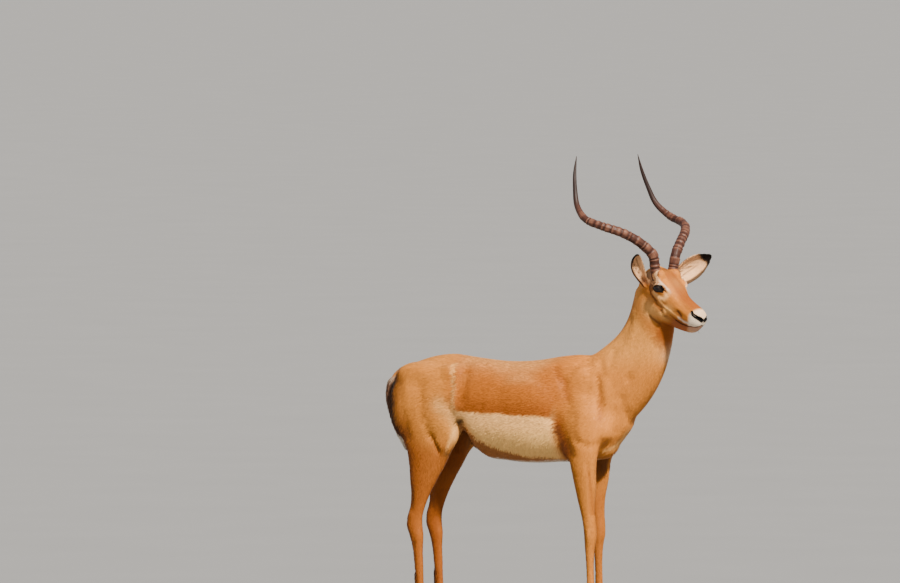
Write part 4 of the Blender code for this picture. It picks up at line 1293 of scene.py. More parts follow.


# %% [markdown]
# The face is painted in three coats of marks: first tan and brown, then what is pale, and last
# the bare black skin, which has to lie on top. Each coat also holds painted light and shade.

# %% Tan and brown of the face, with painted light and shade
# Painted light: paler spots on the cheek and on the jaw, where they lie in shade.
CHEEK_LIGHT = [
    ((0.045, 0.036, -0.032), (0.032, 0.030, 0.020)),
    ((0.040, 0.034, -0.066), (0.026, 0.026, 0.018)),
]
# Painted shade in the hollow of the cheek.
CHEEK_HOLLOW_SHADE = [
    ([(0.003, 0.045, -0.040), (0.026, 0.0435, -0.043)], 0.009),
    ([(0.026, 0.0435, -0.043), (0.035, 0.043, -0.022)], 0.006),
]
# Painted shade in the wrinkles at the corner of the jaw and under it.
WRINKLE_SHADE = [
    ([(0.031, 0.041, -0.050), (0.046, 0.027, -0.061)], 0.0042),
    ([(-0.007, 0.037, -0.091), (0.029, 0.021, -0.099)], 0.0042),
    ([(0.062, 0.027, -0.047), (0.080, 0.021, -0.050)], 0.0034),
]
FACE_MARKS = [
    (PALE_TAN, 0.15, ((0.010, 0.0, 0.034), (0.040, 0.030, 0.030))),  # forehead
    (DARK_BROWN, 0.75, ((-0.052, 0.0, 0.044), (0.024, 0.024, 0.030))),  # crown
    (SADDLE, 0.85, ([(-0.040, 0.046, 0.052), (-0.036, 0.053, 0.030)], 0.010)),  # below the horn
    # jowl: partly its own paler hair, partly painted light on the shaded jaw
    (PALE_TAN, 0.70, ((-0.010, 0.040, -0.070), (0.044, 0.030, 0.034))),  # jowl
    (PALE_TAN, 0.55, *CHEEK_LIGHT),
    (SADDLE_DARK, 0.70, *CHEEK_HOLLOW_SHADE),
    (DARK_BROWN, 0.65, *WRINKLE_SHADE),
    # Painted shade along the crease of the temple, behind the eye.
    (DARK_BROWN, 0.85, ([(-0.052, 0.046, 0.012), *TEMPLE_CREASE], 0.0046)),
    (DARK_BROWN, 0.95, ([(0.084, 0.032, -0.020), (0.099, 0.030, -0.026)], 0.0064)),  # spot
]


def tan_face(local):
    """Tan all over, a brown blaze down the nose, the marks of brow and cheek, painted light and
    shade.
    """
    x, y, _ = local.T
    blaze = step(y, 0.030, 0.016) * step(x, -0.050, -0.020)
    face = layered(FACE_TAN, (FACE_BROWN, blaze), (NECK_TAN, step(x, -0.055, -0.085)))
    return marked(face, local, FACE_MARKS)


# %% Pale parts of the face
UNDER_EYE = [(-0.020, 0.052, -0.010), (-0.004, 0.0517, -0.0126), (0.015, 0.0486, -0.015)]
UNDER_EYE += [(0.0282, 0.0456, -0.005), (0.028, 0.0435, 0.008)]
EYE_MARKS = [
    (PALE_TAN, 0.60, (UNDER_EYE, 0.0085)),
    (WHITE, 0.10, (UNDER_EYE, 0.005)),
    # Painted shade over the upper lid, in the shadow of brow and horn.
    (DARK_BROWN, 0.85, ([(-0.038, 0.050, 0.008), (-0.030, 0.055, 0.020)], 0.007)),  # lid
    # Painted highlight along the raised ridge of the cheek.
    (PALE_TAN, 0.55, (CHEEK_RIDGE, 0.0036)),
]
UPPER_LIP = [(0.0935, 0.027, -0.0366), (0.1153, 0.0248, -0.0362), (0.1407, 0.0255, -0.029)]


def pale_face(local, face):
    """Pale over, before and under the eye and on the muzzle; brown lower lip, pale chin."""
    x, _, z = local.T
    brow = strip(local, BROW_LINE, 0.0036) * step(x, 0.042, 0.018)
    face = marked(layered(face, (WHITE, 0.65 * brow)), local, EYE_MARKS)
    muzzle = x - 0.130 - 0.35 * np.clip(z, 0, 0.03) - 0.30 * np.clip(-z - 0.005, 0, 0.02)
    whiteness = 0.85 - 0.40 * step(z, -0.002, 0.012)
    mouth = line_height(x, [(forward, up) for forward, _, up in MOUTH[::-1]])
    lower_lip = step(z, mouth + 0.001, mouth - 0.002) * step(x, 0.062, 0.080)
    # Painted shade under the jaw.
    jaw_shade = step(z, -0.060, -0.074) * step(x, 0.030, 0.050) * step(x, 0.100, 0.085)
    return layered(
        face,
        (PALE_TAN, 0.60 * step(muzzle, -0.010, 0.004)),
        (WHITE, whiteness * step(muzzle, -0.008, 0.005)),
        (WHITE, 0.80 * strip(local, UPPER_LIP, 0.004)),
        (LIP_BROWN, 0.70 * lower_lip),
        (PALE_TAN, 0.25 * step(z, -0.046, -0.054) * step(x, 0.125, 0.145)),
        (SADDLE_DARK, 0.20 * jaw_shade),
    )


# %% Bare black skin of the face
def black_face(local, face):
    """Nostril, nose pad, corner of the mouth, lids, tear line, and painted shade above the lid."""
    gap, radius = lid_gap(local)
    across, above, _ = eye_places(local)
    on_ball = beside_eye(local, radius)
    beside_lid = step(gap, 0.011, 0.008) * on_ball * step(above, -0.1, 0.3)
    width = 0.0046 + 0.0026 * step(np.abs(across), 0.4, 1.1)
    return layered(
        face,
        (BARE_BLACK, np.maximum(0.7 * strip(local, PHILTRUM, 0.0022), bare_nostril(local))),
        (DARK_BROWN, 0.9 * step(to_line(local, MOUTH)[0], 0.0032, 0.0018)),
        (WHITE, 0.50 * beside_lid * step(across, -0.4, 0.1)),
        # Painted shade above the back half of the upper lid, under the brow.
        (DARK_BROWN, 0.90 * beside_lid * step(across, 0.0, -0.5)),
        (BARE_BLACK, step(gap, width + 0.0012, width - 0.0006) * on_ball),
        (BARE_BLACK, 0.85 * step(to_line(local, TEAR_LINE)[0], 0.0036, 0.0018)),
    )


def head_colour(points, colour):
    local = head_places(points)
    face = black_face(local, pale_face(local, tan_face(local)))
    return layered(colour, (face, on_head(points)))


# %% Ears
EAR_MARGINS = {1: 0.84, -1: 0.58}  # share of the half width where the black outer edge begins


def ear_back(share, side):
    """The back: tan, dark at root and tip, and dark edges, partly its own rim, partly painted
    shade.
    """
    return layered(
        FACE_TAN,
        (DARK_BROWN, 0.8 * step(share, 0.55, 0.90)),
        (DARK_BROWN, 0.6 * step(share, 0.40, 0.15)),
        (DARK_BROWN, 0.9 * step(np.abs(side), 0.005, 0.011)),
    )


def ear_hollow(share, side, s):
    """The cup: cream hair with brown spots in rows, and a black outer edge."""
    spread = side + 0.004 * np.sin(share * 9 + s)
    dark = strip(np.stack([spread, share * 0.02], 1), [(0.0, 0.0), (0.0, 0.02)], 0.0036)
    dark = dark * step(0.5 + 0.5 * np.sin(share * 46 + side * 400), 0.35, 0.75)
    dark = dark + 0.7 * hump(np.abs(side), 0.011, 0.0018) * step(share, 0.30, 0.4)
    arc, curl, _ = ear_sections(share, s)
    outer = -s * side / (arc * np.sin(np.minimum(curl, math.pi / 2)))
    return layered(
        EAR_CREAM,
        (INNER_BROWN, 0.90 * dark * step(share, 0.80, 0.65)),
        (DARK_BROWN, 0.85 * step(share, 0.26, 0.14)),
        (BLACK, 0.90 * step(outer, EAR_MARGINS[s], EAR_MARGINS[s] + 0.14)),
    )


def ear_colour(points, normals, colour):
    for s in (1, -1):
        root, _, _, _, across = ear_axes(s)
        share, _ = ear_places(points, s)
        side = (points - root) @ across
        tint = layered(
            ear_back(share, side),
            (ear_hollow(share, side, s), inside_ear(points, normals, s)),
            (BLACK, step(share + 0.02 * wander(points, 0.01), 0.79, 0.86)),
            (DARK_BROWN, 0.85 * step(share, 0.16, 0.06)),
        )
        colour = layered(colour, (tint, on_ear(points, s, *EAR_START)))
    return colour


# %% The whole coat
def coat_colour(points, normals):
    """The coat's linear colour at any places, with their outward directions."""
    colour = painted_hollow_shade(points, layer_colour(points, normals))
    for region in (under_colour, rump_colour, leg_colour, tail_colour):
        colour = region(points, normals, colour)
    colour = head_colour(points, neck_colour(points, colour))
    return np.clip(ear_colour(points, normals, colour), DARKEST, PALEST)


def bare_share(points):
    """1 where the skin has no hair at all: lids, nostrils, nose pad and lips."""
    local = head_places(points)
    gap, radius = lid_gap(local)
    rim = step(gap, 0.004, 0.0026) * beside_eye(local, radius)
    pad = step(to_line(local, PHILTRUM)[0], 0.003, 0.0016)
    lips = step(to_line(local, MOUTH)[0], 0.0022, 0.0012)
    return np.maximum.reduce([rim, pad, bare_nostril(local), lips]) * on_head(points)


# %% [markdown]
# Hair points backwards on the trunk, downwards on legs, chest and haunch, away from the nose on
# the head, and towards the tip on each ear. Taking out the part along the normal lays it flat.

# %% The lie of the coat
BODY_FLOW, LEG_FLOW = np.array([-1.0, 0.0, -0.30]), np.array([-0.12, 0.0, -1.0])
CHEST_FLOW, HAUNCH_FLOW = np.array([-0.55, 0.0, -0.85]), np.array([-0.45, 0.0, -0.90])


def hair_flow(points, normals):
    """The way the hair points at each place: a direction along the surface."""
    x, _, z = points.T
    flow = layered(
        BODY_FLOW,
        (LEG_FLOW, step(z, 0.66, 0.54)),
        (CHEST_FLOW, step(x, 0.30, 0.42) * step(z, 0.50, 0.56)),
        (HAUNCH_FLOW, step(x, -0.18, -0.32) * step(z, 0.52, 0.60)),
        (-HEAD_TURN[:, 0] - 0.25 * HEAD_TURN[:, 2], on_head(points)),
        *((ear_axes(s)[2], on_ear(points, s, *EAR_START)) for s in (1, -1)),
        (LEG_FLOW, on_tail(points)),
    )
    return unit(flow - normals * (flow * normals).sum(axis=1)[:, None])


# %% [markdown]
# The skin is unwrapped once, and the painted colours are kept at its points. The `comb` places
# are its own points squeezed along the lie of the hair.

# %% Painting a mesh
UV_NAME = "OFBake"


def store(mesh, name, values):
    """A colour for every point, kept in the mesh for its material to read."""
    colours = np.ones((len(mesh.vertices), 4), np.float32)
    colours[:, :3] = values
    mesh.attributes.new(name, "FLOAT_COLOR", "POINT").data.foreach_set("color", colours.ravel())


def store_comb(mesh, values):
    """The places where the noise of the finish is read, squeezed along the hair or the grain."""
    comb = mesh.attributes.new("comb", "FLOAT_VECTOR", "POINT")
    comb.data.foreach_set("vector", values.astype(np.float32).ravel())


def smooth_shaded(mesh):
    mesh.polygons.foreach_set("use_smooth", np.ones(len(mesh.polygons), bool))


def finished(name, points, faces, tint, finish, comb=None):
    """A whole piece: its mesh, its painted colour, its grain if it has one, and its finish."""
    made = new_object(name, points, faces)
    store(made.data, "tint", tint)
    if comb is not None:
        store_comb(made.data, comb)
    smooth_shaded(made.data)
    made.data.materials.append(finish)
    return face_out(made)


# %% Unwrap the skin and paint it
UNWRAP_ANGLE, UNWRAP_MARGIN = math.radians(66), 0.002
BODY_SQUEEZE, LEG_SQUEEZE = np.array([0.22, 1.0, 1.0]), np.array([1.0, 1.0, 0.30])
HEAD_SQUEEZE = [0.30, 1, 1]

bpy.context.view_layer.objects.active = skin
skin.select_set(True)
skin.data.uv_layers.new(name=UV_NAME)
bpy.ops.object.mode_set(mode="EDIT")
bpy.ops.mesh.select_all(action="SELECT")
bpy.ops.uv.smart_project(angle_limit=UNWRAP_ANGLE, island_margin=UNWRAP_MARGIN)
bpy.ops.object.mode_set(mode="OBJECT")
smooth_shaded(skin.data)

places, normals = read_points(skin.data), read_normals(skin.data)
store(skin.data, "tint", coat_colour(places, normals))
bare = bare_share(places)
store(skin.data, "wet", bare[:, None])
head = on_head(places)[:, None]
slim = np.maximum(step(places[:, 2:], 0.60, 0.48), head)
combed = places * (BODY_SQUEEZE + slim * (LEG_SQUEEZE - BODY_SQUEEZE))
store_comb(skin.data, np.where(head > 0.5, head_places(places) * HEAD_SQUEEZE, combed))
print("painted", len(places), "points; bare", round(float(bare.mean()), 3))

# %% [markdown]
# ## Finishes
#
# Skin and hair take their colour from the attribute that was painted, broken up by fine noise.
# On the skin that noise is read through the `comb` coordinates, which are squeezed along the lie
# of the hair, so that it comes out as streaks; the same streaks drive a shallow bump. Bare skin is
# smoother and glossier. A little sheen gives the soft bright edge of a sleek coat.

# %% Nodes that the finishes share
def link(tree, source, output, target, socket):
    tree.links.new(source.outputs[output], target.inputs[socket])


def base_material(name, roughness, specular):
    made = bpy.data.materials.new(name)
    made.use_nodes = True
    shader = made.node_tree.nodes["Principled BSDF"]
    shader.inputs["Roughness"].default_value = roughness
    shader.inputs["Specular IOR Level"].default_value = specular
    return made, made.node_tree, shader


def attribute(tree, name):
    node = tree.nodes.new("ShaderNodeAttribute")
    node.attribute_name = name
    return node


def spread_out(tree, source, low, high, source_low=0.0, source_high=1.0):
    """A value that runs from source_low to source_high, made to run from low to high."""
    node = tree.nodes.new("ShaderNodeMapRange")
    ends = {"From Min": source_low, "From Max": source_high, "To Min": low, "To Max": high}
    for socket, value in ends.items():
        node.inputs[socket].default_value = value
    link(tree, source, "Fac", node, "Value")
    return node


def broken_tint(tree, noise, low, high):
    """The painted colour times a noise that runs from low to high."""
    tint = attribute(tree, "tint")
    spread = spread_out(tree, noise, low, high, 0.30, 0.70)
    product = tree.nodes.new("ShaderNodeVectorMath")
    product.operation = "MULTIPLY"
    link(tree, tint, "Color", product, 0)
    link(tree, spread, "Result", product, 1)
    return product


def noise_node(tree, scale, detail, place=None):
    noise = tree.nodes.new("ShaderNodeTexNoise")
    noise.inputs["Scale"].default_value = scale
    noise.inputs["Detail"].default_value = detail
    if place:
        link(tree, attribute(tree, place), "Vector", noise, "Vector")
    else:
        link(tree, tree.nodes.new("ShaderNodeTexCoord"), "Object", noise, "Vector")
    return noise


def add_bump(tree, shader, noise, strength, distance):
    bump = tree.nodes.new("ShaderNodeBump")
    bump.inputs["Strength"].default_value = strength
    bump.inputs["Distance"].default_value = distance
    link(tree, noise, "Fac", bump, "Height")
    link(tree, bump, "Normal", shader, "Normal")


# %% Finishes of skin, hair, eyes, horns and hooves
def coat_finish(name, roughness, specular, noise, sheen_roughness):
    """Skin or hair: broken colour and a little sheen. Noise is scale, detail, place, low, high."""
    made, tree, shader = base_material(name, roughness, specular)
    grain = noise_node(tree, *noise[:3])
    link(tree, broken_tint(tree, grain, *noise[3:]), "Vector", shader, "Base Color")
    shader.inputs["Sheen Weight"].default_value = 0.02
    shader.inputs["Sheen Roughness"].default_value = sheen_roughness
    return made, tree, shader, grain


def skin_material():
    dry, wet = 0.62, 0.34
    noise = (420.0, 4.0, "comb", 0.90, 1.08)
    made, tree, shader, streaks = coat_finish("skin_coat", dry, 0.10, noise, 0.45)
    gloss = spread_out(tree, attribute(tree, "wet"), dry, wet)
    link(tree, gloss, "Result", shader, "Roughness")
    add_bump(tree, shader, streaks, 0.30, 0.0006)
    return made


def eye_material():
    made, tree, shader = base_material("eye_gloss", 0.30, 0.12)
    flecks = noise_node(tree, 900.0, 3.0)
    link(tree, broken_tint(tree, flecks, 0.75, 1.25), "Vector", shader, "Base Color")
    shader.inputs["Coat Weight"].default_value = 0.55
    shader.inputs["Coat Roughness"].default_value = 0.03
    return made


def horn_material(name, roughness):
    made, tree, shader = base_material(name, roughness, 0.22)
    grain = noise_node(tree, 170.0, 5.0, "comb")
    link(tree, broken_tint(tree, grain, 0.66, 1.32), "Vector", shader, "Base Color")
    add_bump(tree, shader, grain, 0.55, 0.0008)
    return made


SKIN_FINISH, EYE_FINISH = skin_material(), eye_material()
HAIR_FINISH = coat_finish("coat_hair", 0.50, 0.12, (130.0, 3.0, None, 0.93, 1.06), 0.40)[0]
HORN_FINISH, HOOF_FINISH = horn_material("horn_grain", 0.48), horn_material("hoof_grain", 0.40)
skin.data.materials.append(SKIN_FINISH)
print("finishes:", len(bpy.data.materials))

# %% [markdown]
# ## Eyes
#
# The eyeball is dark brown all over, as an antelope shows no white. The iris is a little warmer
# and holds a level, wide pupil, and the cornea bulges over it. A clear coat makes it wet. Short
# stout lashes stand out from the upper lid and shade the eye.

# %% Eyeballs
IRIS_ANGLE, CORNEA_RISE = 0.66, 0.0011
PUPIL = (0.40, 0.21)  # half its length and half its height, in radians
EYE_RINGS, EYE_AROUND = 56, 72
EYE_DARK, IRIS = paint(22, 14, 10), paint(30, 17, 10)
IRIS_EDGE, PUPIL_BLACK = paint(14, 9, 7), paint(6, 5, 5)


def eyeball(s):
    tilt = np.linspace(0.02, math.pi - 0.02, EYE_RINGS)
    turn = full_turn(EYE_AROUND)
    rise = CORNEA_RISE * np.clip(1 - (tilt / IRIS_ANGLE) ** 2, 0, 1) ** 1.5
    radius = EYE_R + rise
    out = (np.cos(turn)[:, None] * EYE_FRONT + np.sin(turn)[:, None] * EYE_TOP)[None]
    unit = np.sin(tilt)[:, None, None] * out + np.cos(tilt)[:, None, None] * EYE_LOOK
    local = (EYE_CENTRE + radius[:, None, None] * unit).reshape(-1, 3)
    tips = [EYE_CENTRE + EYE_LOOK * radius[0], EYE_CENTRE - EYE_LOOK * radius[-1]]
    local = np.concatenate([local, tips]) * [1, s, 1]
    points = local @ HEAD_TURN.T + np.array(BROW)
    across, above, _ = eye_places(local * [1, s, 1])
    reach = np.hypot(across, above)
    slot = (np.abs(across) / PUPIL[0]) ** 4 + (np.abs(above) / PUPIL[1]) ** 4
    colour = layered(
        EYE_DARK,
        (IRIS, step(reach, IRIS_ANGLE, IRIS_ANGLE - 0.06)),
        (IRIS_EDGE, step(np.abs(reach - IRIS_ANGLE), 0.07, 0.0)),
        (PUPIL_BLACK, step(slot, 1.15, 0.85)),
    )
    faces = ring_faces(EYE_RINGS, EYE_AROUND)
    return finished(f"eyeball_{SIDE_NAMES[s]}", points, faces, colour, EYE_FINISH)


eyeballs = {1: eyeball(1), -1: eyeball(-1)}
print("eyeballs:", [len(e.data.polygons) for e in eyeballs.values()])

# %% [markdown]
# ## Horns
#
# Only the ram has horns: lyre-shaped, with raised rings on the lower two thirds and smooth tips.
# Each ring is a low ridge, strongest in front and worn away behind, with a groove below it. Fine
# streaks run lengthwise, and the crests are paler than the grooves, partly rubbed and partly a
# painted highlight.

# %% Ringed horns
HORN_R, HORN_RINGS, RINGED_SHARE, RING_HEIGHT = 0.0158, 18, 0.70, 0.0018
HORN_PATH = [  # towards the nose, outwards and up from the brow, and the radius's share
    (-0.027, 0.029, 0.022, 1.00),
    (-0.026, 0.042, 0.078, 1.00),
    (-0.026, 0.050, 0.111, 0.99),
    (-0.039, 0.083, 0.146, 0.95),
    (-0.066, 0.134, 0.180, 0.89),
    (-0.122, 0.182, 0.205, 0.80),
    (-0.184, 0.188, 0.225, 0.70),
    (-0.231, 0.1755, 0.264, 0.56),
    (-0.252, 0.1635, 0.312, 0.43),
    (-0.268, 0.1477, 0.373, 0.29),
    (-0.272, 0.1365, 0.416, 0.05),
]


HORN_STATIONS, HORN_AROUND = 620, 40
HORN_TONE, CREST_TONE = paint(76, 44, 34), paint(142, 98, 76)
GROOVE_TONE, TIP_TONE = paint(46, 24, 18), paint(40, 26, 22)


def ring_waves(share, s):
    """How ringed the horn is at each share of its length, and how near a crest it is."""
    ringed = np.clip((RINGED_SHARE - share) / 0.12, 0, 1) * np.clip((share - 0.05) / 0.03, 0, 1)
    uneven = 0.30 * np.sin(share * 57 + s) + 0.20 * np.sin(share * 131)
    wave = ((share / RINGED_SHARE) ** 0.85 * HORN_RINGS + uneven) % 1.0
    return ringed, np.exp(-(((wave - 0.55) / np.where(wave < 0.55, 0.28, 0.17)) ** 2))


def horn_tone(share, ringed, crest, strong, turn, s):
    """Colour round one station: crests worn paler and painted highlight, dark grooves, dark smooth
    tip.
    """
    rubbed = 0.62 + 0.38 * np.sin(3 * turn + share * 47 + s) * np.sin(share * 89)
    pale = (0.15 + 0.85 * ringed * crest) * strong * rubbed
    whole = np.ones(HORN_AROUND)
    return layered(
        HORN_TONE,
        (CREST_TONE, 0.60 * pale),
        (GROOVE_TONE, 0.75 * ringed * (1 - crest) ** 3 * whole),
        (TIP_TONE, step(share, 0.60, 0.80) * whole),
    )


def horn(s):
    centres = np.array([LEVEL_HEAD @ Vector((f, o * s, u)) for f, o, u, _ in HORN_PATH])
    lengths = np.linalg.norm(np.diff(centres, axis=0), axis=1)
    knots = np.concatenate([[0], np.cumsum(lengths)])
    share = np.linspace(0, 1, HORN_STATIONS)
    line = curve_through(knots, centres, share * knots[-1])
    size = curve_through(knots, [row[3] for row in HORN_PATH], share * knots[-1])[:, 0] * HORN_R
    along = unit(np.gradient(line, axis=0))
    side = np.array(TO_LEFT, float)
    turn = full_turn(HORN_AROUND)
    facing = np.sin(turn)
    strong = 0.45 + 0.55 * step(facing, -0.6, 0.5)
    points, tints, combed = [], [], []
    rows = zip(line, along, size, share, *ring_waves(share, s))
    for centre, ahead, radius, t, ringed, crest in rows:
        side = unit(side - ahead * side.dot(ahead))
        front = np.cross(side, ahead)
        relief = RING_HEIGHT * ringed * strong * (1.25 * crest - 0.45)
        furrow = 0.0003 * np.sin(9 * turn + 3 * np.sin(t * 17)) * min(1, radius / 0.012)
        out = np.cos(turn)[:, None] * side + facing[:, None] * front
        points.append(centre + out * (radius + relief + furrow)[:, None])
        tints.append(horn_tone(t, ringed, crest, strong, turn, s))
        grain = [0.04 * np.cos(turn), 0.04 * facing, np.full(HORN_AROUND, t * 0.12)]
        combed.append(np.stack(grain, axis=1))
    ends = line[[0, -1]]
    return finished(
        f"horn_fine_{SIDE_NAMES[s]}",
        np.concatenate([*points, ends]),
        ring_faces(HORN_STATIONS, HORN_AROUND),
        np.concatenate([*tints, tints[0][:1], tints[-1][:1]]),
        HORN_FINISH,
        np.concatenate([*combed, ends]),
    )


horns = {1: horn(1), -1: horn(-1)}
print("horns:", [len(h.data.polygons) for h in horns.values()])

# %% [markdown]
# ## Hooves
#
# Each foot stands on two narrow hooves, pointed in front and flat below. The wall of a hoof grows
# down from the coronet in faint rings, and its lower edge is worn round.

# %% Hooves
HOOF_LENGTH, HOOF_WIDTH, HOOF_HEIGHT, CLEFT = 0.052, 0.017, 0.030, 0.0022
CORONET_SLOPE = 0.26
TOE = 0.011  # how far the middle of the sole lies before the foot
HOOF_LEVELS, HOOF_AROUND = 26, 48
HOOF_TONE, CORONET_TONE = paint(44, 36, 31), paint(92, 76, 62)


def hoof(name, x, y, out):
    """One hoof: the foot's x, this hoof's own y, and which way is outwards."""
    turn = full_turn(HOOF_AROUND)
    forward, backward = np.clip(np.cos(turn), 0, 1), np.clip(-np.cos(turn), 0, 1)

    def outline(height, inset=0.0):
        rise = height / (1.5 * HOOF_HEIGHT)
        length = HOOF_LENGTH / 2 * (1 - 0.22 * rise) - inset
        taper = 1 - 0.50 * forward**1.5 - 0.12 * backward
        aside = (HOOF_WIDTH / 2 - inset) * np.sin(turn) * taper * (1 - 0.06 * rise)
        aside = aside - out * HOOF_WIDTH * 0.16 * forward**2
        return x + TOE - 0.0145 * rise + length * np.cos(turn), y + aside

    top = np.full(HOOF_AROUND, HOOF_HEIGHT)
    for _ in range(4):
        top = HOOF_HEIGHT + CORONET_SLOPE * (outline(top)[0] - x)
    points = []
    for level in np.linspace(0, 1, HOOF_LEVELS):
        height = top * level
        rounding = 0.0011 * np.clip(1 - height / 0.002, 0, 1) ** 2
        growth = 0.00022 * np.sin(level * 44 + np.cos(turn))
        px, py = outline(height, rounding + 0.0002 - growth * step(level, 0.05, 0.2))
        points.append(np.stack([px, py, height], axis=1))
    points.append(np.array([[x + TOE, y, 0.0], [x, y, HOOF_HEIGHT + 0.002]]))
    points = np.concatenate(points)
    tone = layered(HOOF_TONE, (CORONET_TONE, 0.6 * step(points[:, 2], 0.018, 0.034)))
    faces = ring_faces(HOOF_LEVELS, HOOF_AROUND)
    return finished(name, points, faces, tone, HOOF_FINISH, points * [1, 1, 0.2])


FORE_TOES, HIND_TOES = FORE_X + 0.019, HIND_X + 0.027
stands = [
    ("fore_left", 1, FORE_TOES + LEFT_FORE_STEP, FORE_Y),
    ("fore_right", -1, FORE_TOES, FORE_Y),
    ("hind_left", 1, HIND_TOES + LEFT_HIND_STEP, HIND_Y),
    ("hind_right", -1, HIND_TOES, HIND_Y),
]
hooves = {}
for foot, s, x, y in stands:
    for place, out in (("outer", 1), ("inner", -1)):
        across = y * s + s * out * (HOOF_WIDTH + CLEFT) / 2
        node = f"hoof_{foot}_{place}"
        hooves[node] = hoof(f"horny_{foot}_{place}", x, across, s * out)
print("hooves:", len(hooves))

# %% [markdown]
# ## The coat
#
# Every tuft is a thin closed blade of seven points: three at the root, three at its middle and
# one at the tip. Its root is sunk in the skin, and its middle and tip are laid at a small height
# over the nearest skin, so that it follows round a leg as well as along a flank. Roots are
# scattered evenly by area, more thickly where the hair is finer. Each tuft's patch on the `OFBake`
# map lies where its root lies on the skin's own unwrap.

# %% Scatter roots over the skin
rng = np.random.default_rng(20)
skin.data.calc_loop_triangles()
corners = read(skin.data.loop_triangles, "vertices", 3, np.int32)
loops = read(skin.data.loop_triangles, "loops", 3, np.int32)
skin_map = read(skin.data.uv_layers[UV_NAME].data, "uv", 2)
skin_points, skin_normals = read_points(skin.data), read_normals(skin.data)
a, b, c = (skin_points[corners[:, i]] for i in range(3))
tri_area = np.linalg.norm(np.cross(b - a, c - a), axis=1) / 2
tri_middle = (a + b + c) / 3


def scatter(count, weight):
    """Roots on the skin, as many as asked, in proportion to area times weight."""
    share = tri_area * weight
    chosen = rng.choice(len(corners), size=count, p=share / share.sum())
    u = rng.random(count)
    v = rng.random(count)
    flip = u + v > 1
    u, v = np.where(flip, 1 - u, u), np.where(flip, 1 - v, v)
    mix = np.stack([1 - u - v, u, v], axis=1)[:, :, None]
    points = (skin_points[corners[chosen]] * mix).sum(axis=1)
    normals = (skin_normals[corners[chosen]] * mix).sum(axis=1)
    return points, unit(normals), (skin_map[loops[chosen]] * mix).sum(axis=1)


print("skin area", round(float(tri_area.sum()), 3), "square metres")

# %% Grow tufts from their roots
skin_tree = BVHTree.FromPolygons(skin_points.tolist(), corners.tolist())


def over_skin(points, height):
    """Each point moved to its own height over the nearest skin."""
    moved = np.empty_like(points)
    for i, (point, lift) in enumerate(zip(points.tolist(), height.tolist())):
        place, normal, _, _ = skin_tree.find_nearest(point)
        moved[i] = place + normal * lift
    return moved


# %% [markdown]
# A tuft's middle is half its length along the flow, and its tip as far again. Both sway a little
# at random, and so do the tone and the normal, which keeps the coat from looking combed by ruler.

# %% The shape and colour of a tuft
TUFT_FACES = [(0, 2, 1), (0, 1, 4), (0, 4, 3), (1, 2, 5), (1, 5, 4), (2, 0, 3), (2, 3, 5)]
TUFT_FACES += [(3, 4, 6), (4, 5, 6), (5, 3, 6)]
TUFT_FADE = np.array([0.88, 0.88, 0.90, 0.98, 0.98, 1.02, 1.04])  # darker roots, paler tips
TUFT_MAP = [(0, 0), (0.4, 0), (0.2, 0.1), (0, 0.5), (0.5, 0.5), (0.25, 0.55), (0.2, 1)]
PATCH = 0.003  # size of a tuft's patch on the map
ROOT_DEPTH, ROOT_WIDTH, THICKNESS = 0.0008, 0.7, 0.22
SWAY, UNEVEN_TONE, LEAN = 0.14, 0.045, 0.35


def tufts(roots, normals, uv, flow, length, width, lift, loose=0.0):
    """Points, colours, map places and normals of closed blades growing from these roots.

    lift is the height of the middle over the skin; the tip lies a little higher. Loose hair
    keeps that share of its own straight way instead of following the skin.
    """
    count = len(roots)
    across = np.cross(normals, flow)
    heading = flow + across * rng.normal(0, SWAY, count)[:, None]
    middle_raw = roots + heading * (length * 0.5)[:, None]
    middles = over_skin(middle_raw, lift)
    middles = middles + (middle_raw + normals * lift[:, None] - middles) * loose
    tip_raw = middles + unit(middles - roots) * (length * 0.5)[:, None]
    tips = over_skin(tip_raw, lift * 1.1)
    tips = tips + (tip_raw + normals * (lift * 0.6)[:, None] - tips) * loose
    side = across * (width / 2)[:, None]
    up = normals * (width * THICKNESS)[:, None]
    sunk = roots - normals * ROOT_DEPTH
    low = [sunk - side * ROOT_WIDTH, sunk + side * ROOT_WIDTH, sunk + up]
    points = np.stack([*low, middles - side, middles + side, middles + up, tips], axis=1)
    tone = 1 + rng.normal(0, UNEVEN_TONE, count)
    colours = coat_colour(roots, normals)[:, None, :] * (tone[:, None] * TUFT_FADE)[:, :, None]
    places = uv[:, None, :] + (np.array(TUFT_MAP) - [0.25, 0.5]) * PATCH
    lean = unit(normals + LEAN * rng.normal(0, 0.25, (count, 3)))
    lean = np.repeat(lean[:, None, :], len(TUFT_MAP), axis=1)
    return points, np.clip(colours, DARKEST, PALEST), places, lean


# %% Meshes out of many tufts
def coat_piece(name, grown):
    """One mesh out of what tufts() returned, with its colours and its map."""
    points, colours, places, lean = grown
    count = len(points)
    mesh = bpy.data.meshes.new(name)
    each = len(TUFT_MAP)
    faces = np.array(TUFT_FACES)[None] + each * np.arange(count)[:, None, None]
    mesh.vertices.add(count * each)
    mesh.vertices.foreach_set("co", points.astype(np.float32).ravel())
    mesh.loops.add(faces.size)
    mesh.loops.foreach_set("vertex_index", faces.astype(np.int32).ravel())
    mesh.polygons.add(faces.size // 3)
    mesh.polygons.foreach_set("loop_start", np.arange(0, faces.size, 3, dtype=np.int32))
    mesh.update(calc_edges=True)
    store(mesh, "tint", colours.reshape(-1, 3))
    layer = mesh.uv_layers.new(name=UV_NAME)
    spread = places.reshape(-1, 2)[faces.ravel()]
    layer.data.foreach_set("uv", spread.astype(np.float32).ravel())
    smooth_shaded(mesh)
    mesh.normals_split_custom_set_from_vertices(lean.reshape(-1, 3).tolist())
    mesh.materials.append(HAIR_FINISH)
    made = linked(name, mesh)
    print(name, count, "tufts", faces.size // 3, "triangles")
    return made


PIECE_TUFTS = 19_000
coat_pieces = []


